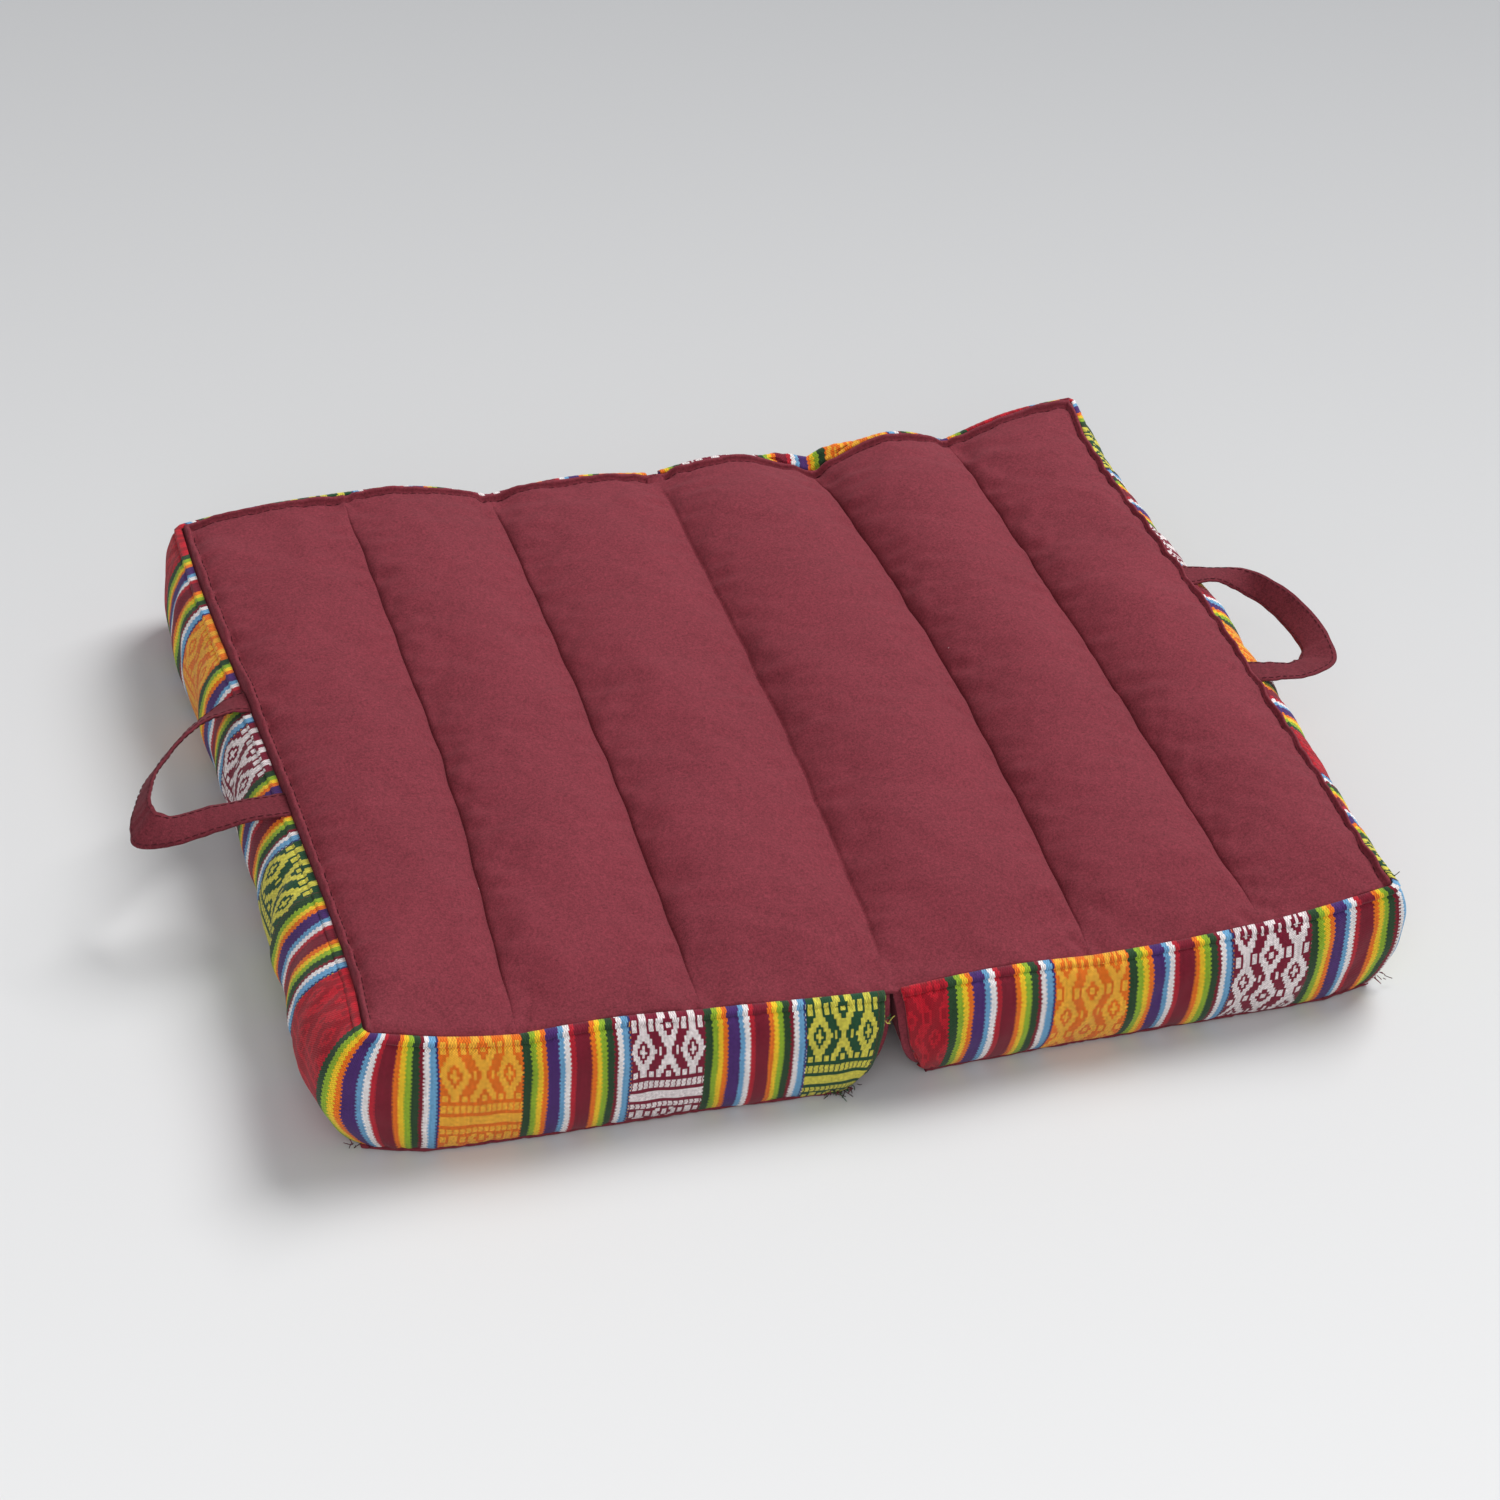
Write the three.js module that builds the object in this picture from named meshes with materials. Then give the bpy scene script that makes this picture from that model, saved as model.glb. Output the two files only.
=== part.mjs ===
// Folding meditation cushion, lying open: two filled pads with three sewn channels each, joined by
// the top cloth at the fold, a woven boxing band round three sides of each pad, two strap handles.
// Millimetres. X runs across the channels, Y along them from front to back, Z up from the surface.

import * as THREE from 'three';

// Driving dimensions
const WIDTH = 415;           // rim to rim across the channels
const DEPTH = 332;           // and along them
const BAND_THICK = 1.4;
const STRAP_THICK = 1.4;
const GAP = 0.3;             // between pieces that are sewn face to face
const LIP_WIDTH = 2.0;       // turned seam edge that stands along the back and outer rims
const LIP_HEIGHT = 1.9;
const LIP_FOOT = 1.4;        // stitched groove on the inner side of the lip
const BAND_BELOW_RIM = 0.6;  // the band's top edge lies this far under the rim line
const FOLD_HALF = 2.5;       // half the width of the strip of top cloth in the fold
const STRIP_THICK = 1.5;
const STRIP_EDGE = -0.2;     // height of the strip's edges and middle against the fold line
const STRIP_MIDDLE = -1.1;
const BAND_FOOT = 0.05;      // height of the band's bottom edge, as a share of the rim's
const BOTTOM_ROUND = 7;      // how far the bottom edge rolls in before it lies flat
const ROLL_IN = 0.45;        // the roll's middle, as a share of that and of the foot's height
const ROLL_UP = 0.3;
const STITCH_DIP = 0.3;      // the cloth lies this much lower along the stitched groove
const FRONT_DIP = 0.2;       // and along the front rim, which has no lip
const RIM_REACH = 0.1;       // share of the depth over which a channel swells from a rim
const RIM_ROUNDNESS = 1.1;   // a channel's section is a sine to this power at the rims,
const CROWN_ROUNDNESS = 0.65; // and to this one between them, which draws the seams in sharply
const CORNER_DEPTH = 0.4;    // extra depth that keeps cloth thickness across a corner
const SOLE_GROOVE = 2.2;     // depth of the channel seams in the flat bottom
const SOLE_GROOVE_HALF = 7;
const CORNER_REACH = 30;     // along each side, how far a corner draws the walls round
const CORNER_PULL = 0.42;    // share of the bulge that a corner draws in
const CORNER_TUCK = 5;       // how far the bottom edge tucks in at a corner
const CHANNELS = 3;
const MIDDLE = { x: -6, y: -1.25 };  // middle of the whole outline, handles counted

const MAROON = { color: 0x82364a, roughness: 0.85, metalness: 0 };
const MAROON_DEEP = { color: 0x74303f, roughness: 0.85, metalness: 0 };
const WEAVE = { color: 0xa8552f, roughness: 0.9, metalness: 0 };

const PAD_INSET = BAND_THICK + GAP;
const LIP_LINES = [PAD_INSET, PAD_INSET + LIP_WIDTH, PAD_INSET + LIP_WIDTH + LIP_FOOT];
const CHANNEL_STEPS = 8;
const STEPS_IN = [12, 24, 42];  // grid lines near the front and back rims, in mm from them
const MID_STEPS = [0.18, 0.28, 0.4, 0.5, 0.6, 0.72, 0.82];  // and between, as shares of the depth
const BOTTOM_FLAT = 3;          // the seams in the bottom stop this many grid lines from its edge

// Places along a channel, as a share of its length, for the columns of the tables below
const STATIONS = [0, 0.12, 0.5, 0.88, 1];
const COLUMNS = ['front', 'nearFront', 'middle', 'nearBack', 'back'];

// Seam lines from left to right: where they run across (x) and how high they lie (z)
const SEAMS = [
  { name: 'left rim', x: { front: -206.6, nearFront: -203.3, middle: -205.7, nearBack: -209.9, back: -208.5 },
    z: { front: 58.8, nearFront: 54.5, middle: 54.4, nearBack: 54.9, back: 51.5 } },
  { name: 'channel 1-2', x: { front: -148.8, nearFront: -145.9, middle: -137.8, nearBack: -137.4, back: -137.3 },
    z: { front: 48.3, nearFront: 50.5, middle: 52.3, nearBack: 54.7, back: 56.5 } },
  { name: 'channel 2-3', x: { front: -77.5, nearFront: -76, middle: -72.4, nearBack: -71.3, back: -71 },
    z: { front: 47.3, nearFront: 47.9, middle: 49.8, nearBack: 48, back: 45.2 } },
  { name: 'fold', x: { front: -2.3, nearFront: 0.2, middle: 4.2, nearBack: 4.7, back: 4.9 },
    z: { front: 44.6, nearFront: 45, middle: 47.8, nearBack: 47.7, back: 46.5 } },
  { name: 'channel 4-5', x: { front: 81, nearFront: 83.2, middle: 85.8, nearBack: 82.2, back: 79.6 },
    z: { front: 43.9, nearFront: 44.5, middle: 46.8, nearBack: 43, back: 37.7 } },
  { name: 'channel 5-6', x: { front: 154.1, nearFront: 152.4, middle: 149.3, nearBack: 145.8, back: 145 },
    z: { front: 46.9, nearFront: 46.8, middle: 48.9, nearBack: 48.1, back: 44.8 } },
  { name: 'right rim', x: { front: 210.4, nearFront: 210.4, middle: 209.8, nearBack: 203.4, back: 205.9 },
    z: { front: 55.7, nearFront: 52.6, middle: 54.5, nearBack: 55.6, back: 59.8 } },
];

// Crowns of the six filled channels, left to right: height at each station
const CROWNS = [
  { front: 51.9, nearFront: 61.3, middle: 64.1, nearBack: 61.1, back: 55.6 },
  { front: 49.8, nearFront: 59.2, middle: 62.9, nearBack: 60.9, back: 54.8 },
  { front: 46, nearFront: 57.6, middle: 61.8, nearBack: 58, back: 49.8 },
  { front: 46.5, nearFront: 58.2, middle: 63.1, nearBack: 59.8, back: 51.7 },
  { front: 44.5, nearFront: 56.9, middle: 62.1, nearBack: 60, back: 53.5 },
  { front: 50.4, nearFront: 59.4, middle: 63.3, nearBack: 61, back: 55.5 },
];

// The front and back rims: where they run in depth, by place across
const FRONT_RIM = [
  { x: -208, y: -163 }, { x: -149, y: -166.5 }, { x: -77, y: -168 }, { x: 0, y: -171 },
  { x: 81, y: -169.5 }, { x: 154, y: -169.5 }, { x: 210, y: -168.5 },
];
const BACK_RIM = [
  { x: -208, y: 163 }, { x: -71, y: 167 }, { x: 5, y: 167 }, { x: 80, y: 166.5 }, { x: 145, y: 168.5 },
  { x: 205, y: 170 },
];

// How far the walls stand out beyond the rim: fullest, and at the band's bottom edge
const BULGE = {
  left: { back: 8, middle: 12, front: 22, foot: 3 },
  frontLeft: { outer: 7, middle: 8, fold: 8, foot: 6 },
  backLeft: { outer: 8, middle: 8, fold: 6, foot: 3 },
  frontRight: { outer: 6, middle: 8, fold: 9, foot: 2 },
  backRight: { outer: 8, middle: 8, fold: 6, foot: 3 },
  right: { back: 10, middle: 15, front: 9, foot: 3 },
};

// The wall from the rim down: height share, share of the bulge, share of the foot,
// and how far the bare wall in the fold stands back
const WALL = [
  { up: 1.0, bulge: 0, foot: 0, fold: 0 },
  { up: 0.88, bulge: 0.56, foot: 0, fold: 0.8 },
  { up: 0.7, bulge: 0.9, foot: 0.05, fold: 1.6 },
  { up: 0.49, bulge: 0.98, foot: 0.15, fold: 3.5 },
  { up: 0.28, bulge: 0.72, foot: 0.5, fold: 7.5 },
  { up: 0.12, bulge: 0.3, foot: 0.85, fold: 13 },
  { up: BAND_FOOT, bulge: 0, foot: 1, fold: 17 },
];

// Where the end of a channel is drawn down, the band's shoulder still stands behind it
const BACK_DIP = { seam: 4, reach: 0.42, rise: 11, padEase: 4.2 };

// Stations of a strap handle from its back root to its front root: middle of the strap (x, y, z),
// the way its outer edge points (turn, in plan), how far that edge rises (tilt) and the width there.
// A root takes its height and distance out from the rim.
const LEFT_STRAP = [
  { root: 1, y: 37, turn: 92, tilt: 0, width: 13.5 },
  { x: -215, y: 36.4, z: 54.4, turn: 98, tilt: -22, width: 13.5 },
  { x: -228.4, y: 29.4, z: 52.8, turn: 120, tilt: -48, width: 12.6 },
  { x: -241.8, y: 16.9, z: 51.1, turn: 148, tilt: -60, width: 11.6 },
  { x: -253.3, y: 2, z: 50, turn: 169, tilt: -59, width: 12.1 },
  { x: -259.5, y: -13.6, z: 49.5, turn: 185, tilt: -52, width: 13 },
  { x: -260.1, y: -25.4, z: 49.5, turn: 216, tilt: -40, width: 16.2 },
  { x: -249.6, y: -29.8, z: 50.6, turn: 261, tilt: -18, width: 13.5 },
  { x: -234.4, y: -28.3, z: 52.8, turn: 267, tilt: -10, width: 13.5 },
  { x: -218.2, y: -27.6, z: 54.5, turn: 268, tilt: 1, width: 13.5 },
  { root: 1, y: -28, turn: 268, tilt: 0, width: 13.5 },
];
const RIGHT_STRAP = [
  { root: 1, y: 38.5, turn: 90, tilt: 0, width: 13.5 },
  { x: 220.9, y: 39.2, z: 53.9, turn: 75, tilt: -9, width: 12.6 },
  { x: 232.6, y: 36, z: 52.2, turn: 55, tilt: 20, width: 11.6 },
  { x: 240.5, y: 28.2, z: 51.1, turn: 39, tilt: 53, width: 11.9 },
  { x: 245.3, y: 16.8, z: 51.1, turn: 27, tilt: 50, width: 12.9 },
  { x: 247.9, y: 2, z: 51.1, turn: 12, tilt: 43, width: 13.5 },
  { x: 248.6, y: -11.1, z: 50.6, turn: -3, tilt: 34, width: 13.5 },
  { x: 244.6, y: -23.4, z: 50, turn: -36, tilt: 16, width: 16.7 },
  { x: 231.9, y: -28.6, z: 51.1, turn: -85, tilt: 10, width: 13.5 },
  { x: 221.3, y: -29.4, z: 53.4, turn: -92, tilt: 6, width: 13.5 },
  { root: 1, y: -29.3, turn: -90, tilt: 0, width: 13.5 },
];
const STRAP_STEPS = 40;
const STRAP_ROOT_INSET = 1.1;  // a root starts this far inside the band's outer face
const STRAP_ROOT_RISE = 0.65;  // and its middle lies this far above the rim line
const RIM_HALVINGS = 30;       // a root's place along the rim is found by halving

// Smooth curve through values at given places, without overshoot
function throughValues(places, values, at) {
  const last = places.length - 1;
  const t = Math.min(Math.max(at, places[0]), places[last]);
  let k = 0;
  while (k < last - 1 && t > places[k + 1]) k += 1;
  const rise = (n) => (values[n + 1] - values[n]) / (places[n + 1] - places[n]);
  const slope = (n) => {
    if (n === 0) return rise(0);
    if (n === last) return rise(last - 1);
    const before = rise(n - 1);
    const after = rise(n);
    return before * after > 0 ? (2 * before * after) / (before + after) : 0;
  };
  const span = places[k + 1] - places[k];
  const s = (t - places[k]) / span;
  const s2 = s * s;
  const s3 = s2 * s;
  return (2 * s3 - 3 * s2 + 1) * values[k] + (s3 - 2 * s2 + s) * span * slope(k)
    + (3 * s2 - 2 * s3) * values[k + 1] + (s3 - s2) * span * slope(k + 1);
}

const alongRow = (row, v) => throughValues(STATIONS, COLUMNS.map((name) => row[name]), v);
const alongRim = (rim, x) => throughValues(rim.map((p) => p.x), rim.map((p) => p.y), x);

// Rim in plan and height of the top cloth at channel place a (0 at the left rim, 6 at the right)
// and v (0 at the front rim, 1 at the back)
function topPoint(a, v) {
  const c = Math.min(Math.floor(a), SEAMS.length - 2);
  const w = a - c;
  const xLeft = alongRow(SEAMS[c].x, v);
  const xRight = alongRow(SEAMS[c + 1].x, v);
  const x = xLeft + w * (xRight - xLeft);
  const y = THREE.MathUtils.lerp(alongRim(FRONT_RIM, x), alongRim(BACK_RIM, x), v);
  const zLeft = alongRow(SEAMS[c].z, v);
  const zRight = alongRow(SEAMS[c + 1].z, v);
  const base = zLeft + w * (zRight - zLeft);
  const crown = alongRow(CROWNS[c], v) - (zLeft + zRight) / 2;
  const inward = Math.min(1, Math.min(v, 1 - v) / RIM_REACH);
  const arch = Math.sin(Math.PI * w) ** THREE.MathUtils.lerp(RIM_ROUNDNESS, CROWN_ROUNDNESS, inward);
  return new THREE.Vector3(x, y, base + crown * arch);
}

// A pad lies between two seams, its `outer` rim and the `fold`; `walls` names its rows
// of the tables; `lean` scales how far its bare wall leans back in the fold, `out` is its way outwards
const LEFT = {
  outer: 0, fold: CHANNELS, walls: ['left', 'frontLeft', 'backLeft'], out: -1, lean: 1.1,
};
const RIGHT = {
  outer: 2 * CHANNELS, fold: CHANNELS, walls: ['right', 'frontRight', 'backRight'], out: 1, lean: 1.1,
};

// Grid lines across a pad, as channel places counted inwards from its outer rim
function gridAcross() {
  const channelWidth = WIDTH / (2 * CHANNELS);
  const places = LIP_LINES.map((inset) => inset / channelWidth);
  for (let c = 0; c < CHANNELS; c += 1) {
    for (let k = 1; k <= CHANNEL_STEPS; k += 1) {
      const w = (1 - Math.cos((Math.PI * k) / CHANNEL_STEPS)) / 2;
      if (c > 0 || k > 1) places.push(c + w);
    }
  }
  places[places.length - 1] -= (FOLD_HALF + GAP) / channelWidth;
  return places;
}

// Grid lines along a pad, as shares of its depth, from the front rim to the lip at the back
function gridAlong() {
  const front = [PAD_INSET, LIP_LINES[2], ...STEPS_IN].map((inset) => inset / DEPTH);
  const back = [...LIP_LINES, ...STEPS_IN].map((inset) => 1 - inset / DEPTH).reverse();
  return [...front, ...MID_STEPS, ...back];
}

const ACROSS = gridAcross();
const ALONG = gridAlong();
const placeOf = (pad, fromOuter) => (pad.out < 0 ? fromOuter : 2 * CHANNELS - fromOuter);

// Fading weight of a corner at a distance along a side
const fade = (distance) => Math.max(0, 1 - distance / CORNER_REACH) ** 2;

// One place on a pad's outline: its rim point, which walls it belongs to, and its way out
function outlinePlace(pad, i, j) {
  const lastI = ACROSS.length - 1;
  const lastJ = ALONG.length - 1;
  const onOuter = i === 0;
  const onFold = i === lastI;
  const onFront = j === 0;
  const onBack = j === lastJ;
  const a = placeOf(pad, onOuter ? 0 : ACROSS[i]);
  const v = onFront ? 0 : onBack ? 1 : ALONG[j];
  const rim = topPoint(a, v);
  const outerX = topPoint(pad.outer, v).x;
  const foldX = topPoint(pad.fold, v).x;
  const distance = {
    outer: Math.abs(rim.x - outerX),
    fold: onFold ? 0 : Math.abs(rim.x - foldX),
    front: v * DEPTH,
    back: (1 - v) * DEPTH,
  };
  const own = (toNextSide) => 1 - CORNER_PULL * fade(toNextSide);
  const near = (toThisSide) => (1 - CORNER_PULL) * fade(toThisSide);
  const deep = Math.min(distance.front, distance.back);
  const weight = {
    outer: onOuter ? own(deep) : near(distance.outer),
    fold: onFold ? 1 : fade(distance.fold),
    front: onFront ? own(distance.outer) : near(distance.front),
    back: onBack ? own(distance.outer) : near(distance.back),
  };
  const bareWall = onFold && deep > 0;
  const out = new THREE.Vector2(pad.out * weight.outer, weight.back - weight.front);
  if (bareWall) out.set(-pad.out, 0);
  out.normalize();
  return { rim, a, v, weight, out, onFold, onBack, bareWall, fromOuter: distance.outer, deep };
}

// How far the wall stands out at an outline place, in plan, for one row of the wall table
function wallOffset(pad, place, row) {
  const [outerWall, frontWall, backWall] = pad.walls.map((name) => BULGE[name]);
  const across = Math.abs(place.a - placeOf(pad, 0)) / CHANNELS;
  const bulgeOf = (wall, from, to) => {
    const t = wall === outerWall ? place.v : across;
    return throughValues([0, 0.5, 1], [wall[from], wall.middle, wall[to]], t);
  };
  const tuck = CORNER_TUCK * fade(Math.max(place.fromOuter, place.deep)) * row.foot;
  const standOut = (wall, from, to) => row.bulge * bulgeOf(wall, from, to) + row.foot * wall.foot - tuck;
  const x = pad.out * (place.weight.outer * standOut(outerWall, 'front', 'back')
    + place.weight.fold * row.fold * pad.lean);
  const y = place.weight.back * standOut(backWall, 'outer', 'fold')
    - place.weight.front * standOut(frontWall, 'outer', 'fold');
  return new THREE.Vector2(x, y);
}

// Wall point at depth `inside` the band's outer face
function wallPoint(pad, place, k, inside) {
  const dipped = Math.max(0, 1 - Math.abs(place.a - BACK_DIP.seam) / BACK_DIP.reach);
  const rise = inside > BAND_THICK ? BACK_DIP.rise - BACK_DIP.padEase : BACK_DIP.rise;
  const shoulder = place.onBack ? rise * Math.sin((Math.PI / 2) * dipped) : 0;
  const at = (n) => {
    const row = WALL[Math.min(Math.max(n, 0), WALL.length - 1)];
    const offset = wallOffset(pad, place, row);
    const height = place.rim.z + (row.up < 1 ? shoulder : 0);
    return new THREE.Vector3(place.rim.x + offset.x, place.rim.y + offset.y, row.up * height);
  };
  const point = at(k);
  if (k === 0) point.z -= BAND_BELOW_RIM;
  if (inside === 0 || place.bareWall) return point;
  const above = at(k - 1);
  const below = at(k + 1);
  const fall = above.z - below.z;
  const flare = (below.x - above.x) * place.out.x + (below.y - above.y) * place.out.y;
  const length = Math.hypot(fall, flare);
  const level = k === 0 ? 1 : fall / length;
  const upright = k === 0 ? 0 : flare / length;
  const cornerShare = Math.min(Math.abs(place.out.x), Math.abs(place.out.y)) * Math.SQRT2;
  const depth = inside * (1 + CORNER_DEPTH * cornerShare);
  const outWay = place.onFold ? new THREE.Vector2(0, Math.sign(place.out.y)) : place.out;
  point.x -= outWay.x * level * depth;
  point.y -= outWay.y * level * depth;
  point.z -= upright * inside;
  return point;
}

// Closed body put together from rows of points
class Skin {
  constructor() {
    this.points = [];
    this.faces = [];
  }

  add(point) {
    this.points.push(point.x, point.y, point.z);
    return this.points.length / 3 - 1;
  }

  quad(p, q, r, s) {
    this.faces.push(p, q, r, p, r, s);
  }

  // Quads between two rows of points; `closed` joins the ends
  strip(rowA, rowB, closed) {
    const count = closed ? rowA.length : rowA.length - 1;
    for (let n = 0; n < count; n += 1) {
      const next = (n + 1) % rowA.length;
      this.quad(rowA[n], rowA[next], rowB[next], rowB[n]);
    }
  }

  // The same quads seen from the other side
  backStrip(rowA, rowB) {
    for (let n = 0; n < rowA.length - 1; n += 1) this.quad(rowA[n], rowB[n], rowB[n + 1], rowA[n + 1]);
  }

  mesh(name, finish, turnedIn) {
    const geometry = new THREE.BufferGeometry();
    const order = [...this.faces];
    if (turnedIn) order.reverse();
    geometry.setAttribute('position', new THREE.Float32BufferAttribute(this.points, 3));
    geometry.setIndex(order);
    geometry.computeVertexNormals();
    const mesh = new THREE.Mesh(geometry, new THREE.MeshStandardMaterial(finish));
    mesh.name = name;
    return mesh;
  }
}

// Outline indices of a pad, counter-clockwise in plan for the right pad
function outline() {
  const lastI = ACROSS.length - 1;
  const lastJ = ALONG.length - 1;
  const ring = [];
  for (let i = lastI; i > 0; i -= 1) ring.push([i, lastJ]);
  for (let j = lastJ; j > 0; j -= 1) ring.push([0, j]);
  for (let i = 0; i < lastI; i += 1) ring.push([i, 0]);
  for (let j = 0; j < lastJ; j += 1) ring.push([lastI, j]);
  return ring;
}

// Top of a pad at a grid crossing, with the standing lip along the outer and back rims
function padTop(pad, i, j) {
  const point = topPoint(placeOf(pad, ACROSS[i]), ALONG[j]);
  const lastJ = ALONG.length - 1;
  const rimRow = Math.min(i, lastJ - j);
  if (rimRow <= 1) point.z += LIP_HEIGHT;
  if (rimRow === 2) point.z -= STITCH_DIP;
  if (j === 0 && i > 1) point.z -= FRONT_DIP;
  return point;
}

// Bottom of a pad: flat, with the channel seams drawn in, its rim rolled up to the wall
function padBottom(pad, i, j, shift) {
  const point = topPoint(placeOf(pad, ACROSS[i]), ALONG[j]);
  point.x += shift.x;
  point.y += shift.y;
  point.z = 0;
  const fromEdge = Math.min(i, ACROSS.length - 1 - i, j, ALONG.length - 1 - j);
  if (fromEdge >= BOTTOM_FLAT) {
    const seamDistance = Math.abs(ACROSS[i] - Math.round(ACROSS[i])) * (WIDTH / (2 * CHANNELS));
    point.z = SOLE_GROOVE * Math.max(0, 1 - seamDistance / SOLE_GROOVE_HALF);
  }
  return point;
}

function buildPad(name, pad) {
  const skin = new Skin();
  const ring = outline();
  const lastI = ACROSS.length - 1;
  const lastJ = ALONG.length - 1;
  const places = ring.map(([i, j]) => outlinePlace(pad, i, j));
  const gridOf = (pointAt) => ACROSS.map((_, i) => ALONG.map((__, j) => skin.add(pointAt(i, j))));

  const top = gridOf((i, j) => padTop(pad, i, j));
  const wallRows = WALL.map((_, k) => places.map((place) => skin.add(wallPoint(pad, place, k, PAD_INSET))));

  // Where the bottom's outline lies: the wall's foot, rolled in
  const footOf = (place) => {
    const foot = wallPoint(pad, place, WALL.length - 1, PAD_INSET);
    return new THREE.Vector2(foot.x - place.out.x * BOTTOM_ROUND, foot.y - place.out.y * BOTTOM_ROUND);
  };
  const shiftAt = (i, j) => {
    const foot = footOf(outlinePlace(pad, i, j));
    const above = topPoint(placeOf(pad, ACROSS[i]), ALONG[j]);
    return new THREE.Vector2(foot.x - above.x, foot.y - above.y);
  };
  const corner = [[0, 0], [lastI, 0], [0, lastJ], [lastI, lastJ]].map(([i, j]) => shiftAt(i, j));
  const spread = (i, j) => {
    const s = i / lastI;
    const t = ALONG[j];
    const total = new THREE.Vector2();
    total.addScaledVector(shiftAt(0, j), 1 - s).addScaledVector(shiftAt(lastI, j), s);
    total.addScaledVector(shiftAt(i, 0), 1 - t).addScaledVector(shiftAt(i, lastJ), t);
    total.addScaledVector(corner[0], -(1 - s) * (1 - t)).addScaledVector(corner[1], -s * (1 - t));
    total.addScaledVector(corner[2], -(1 - s) * t).addScaledVector(corner[3], -s * t);
    return total;
  };
  const isRing = (i, j) => i === 0 || j === 0 || i === lastI || j === lastJ;
  const bottom = gridOf((i, j) => padBottom(pad, i, j, isRing(i, j) ? shiftAt(i, j) : spread(i, j)));
  const roll = places.map((place) => {
    const foot = wallPoint(pad, place, WALL.length - 1, PAD_INSET);
    return skin.add(new THREE.Vector3(
      foot.x - place.out.x * BOTTOM_ROUND * ROLL_IN,
      foot.y - place.out.y * BOTTOM_ROUND * ROLL_IN,
      foot.z * ROLL_UP,
    ));
  });

  const ringOf = (grid) => ring.map(([i, j]) => grid[i][j]);
  skin.strip(ringOf(top), wallRows[0], true);
  for (let k = 1; k < wallRows.length; k += 1) skin.strip(wallRows[k - 1], wallRows[k], true);
  skin.strip(wallRows[wallRows.length - 1], roll, true);
  skin.strip(roll, ringOf(bottom), true);
  for (let i = 0; i < lastI; i += 1) {
    skin.strip(top[i], top[i + 1], false);
    skin.strip(bottom[i + 1], bottom[i], false);
  }
  return skin.mesh(name, MAROON, pad.out < 0);
}

// The boxing band: outer and inner faces down three walls, closed along its edges
function buildBand(name, pad) {
  const skin = new Skin();
  const lastI = ACROSS.length - 1;
  const lastJ = ALONG.length - 1;
  const threeSides = outline().filter(([i, j]) => i < lastI || j === 0 || j === lastJ);
  const places = threeSides.map(([i, j]) => outlinePlace(pad, i, j));
  const face = (inside) => WALL.map(
    (_, k) => places.map((place) => skin.add(wallPoint(pad, place, k, inside))),
  );
  const outer = face(0);
  const inner = face(BAND_THICK);
  const last = WALL.length - 1;
  for (let k = 0; k < last; k += 1) {
    skin.strip(outer[k], outer[k + 1], false);
    skin.backStrip(inner[k], inner[k + 1]);
  }
  skin.strip(inner[0], outer[0], false);
  skin.strip(outer[last], inner[last], false);
  const atEnd = (rows, n) => rows.map((row) => row[n]);
  skin.strip(atEnd(outer, 0), atEnd(inner, 0), false);
  skin.strip(atEnd(inner, places.length - 1), atEnd(outer, places.length - 1), false);
  return skin.mesh(name, WEAVE, pad.out < 0);
}

// Strip of the top cloth that hinges the pads, lying in the fold as a shallow trough
function buildFoldStrip() {
  const skin = new Skin();
  const trough = [
    { x: -FOLD_HALF, z: STRIP_EDGE }, { x: 0, z: STRIP_MIDDLE }, { x: FOLD_HALF, z: STRIP_EDGE },
  ];
  const section = [...trough, ...trough.map((p) => ({ x: p.x, z: p.z - STRIP_THICK })).reverse()];
  const rows = ALONG.map((v, j) => {
    const seam = topPoint(CHANNELS, v);
    const lift = ALONG.length - 1 - j <= 1 ? LIP_HEIGHT : 0;
    return section.map((p) => skin.add(new THREE.Vector3(seam.x + p.x, seam.y, seam.z + p.z + lift)));
  });
  for (let n = 1; n < rows.length; n += 1) skin.strip(rows[n - 1], rows[n], true);
  const cap = (r, flip) => {
    const halves = [[r[0], r[1], r[4], r[5]], [r[1], r[2], r[3], r[4]]];
    halves.forEach((half) => skin.quad(...(flip ? half : half.reverse())));
  };
  cap(rows[0], false);
  cap(rows[rows.length - 1], true);
  return skin.mesh('fold_strip', MAROON_DEEP, false);
}

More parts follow.
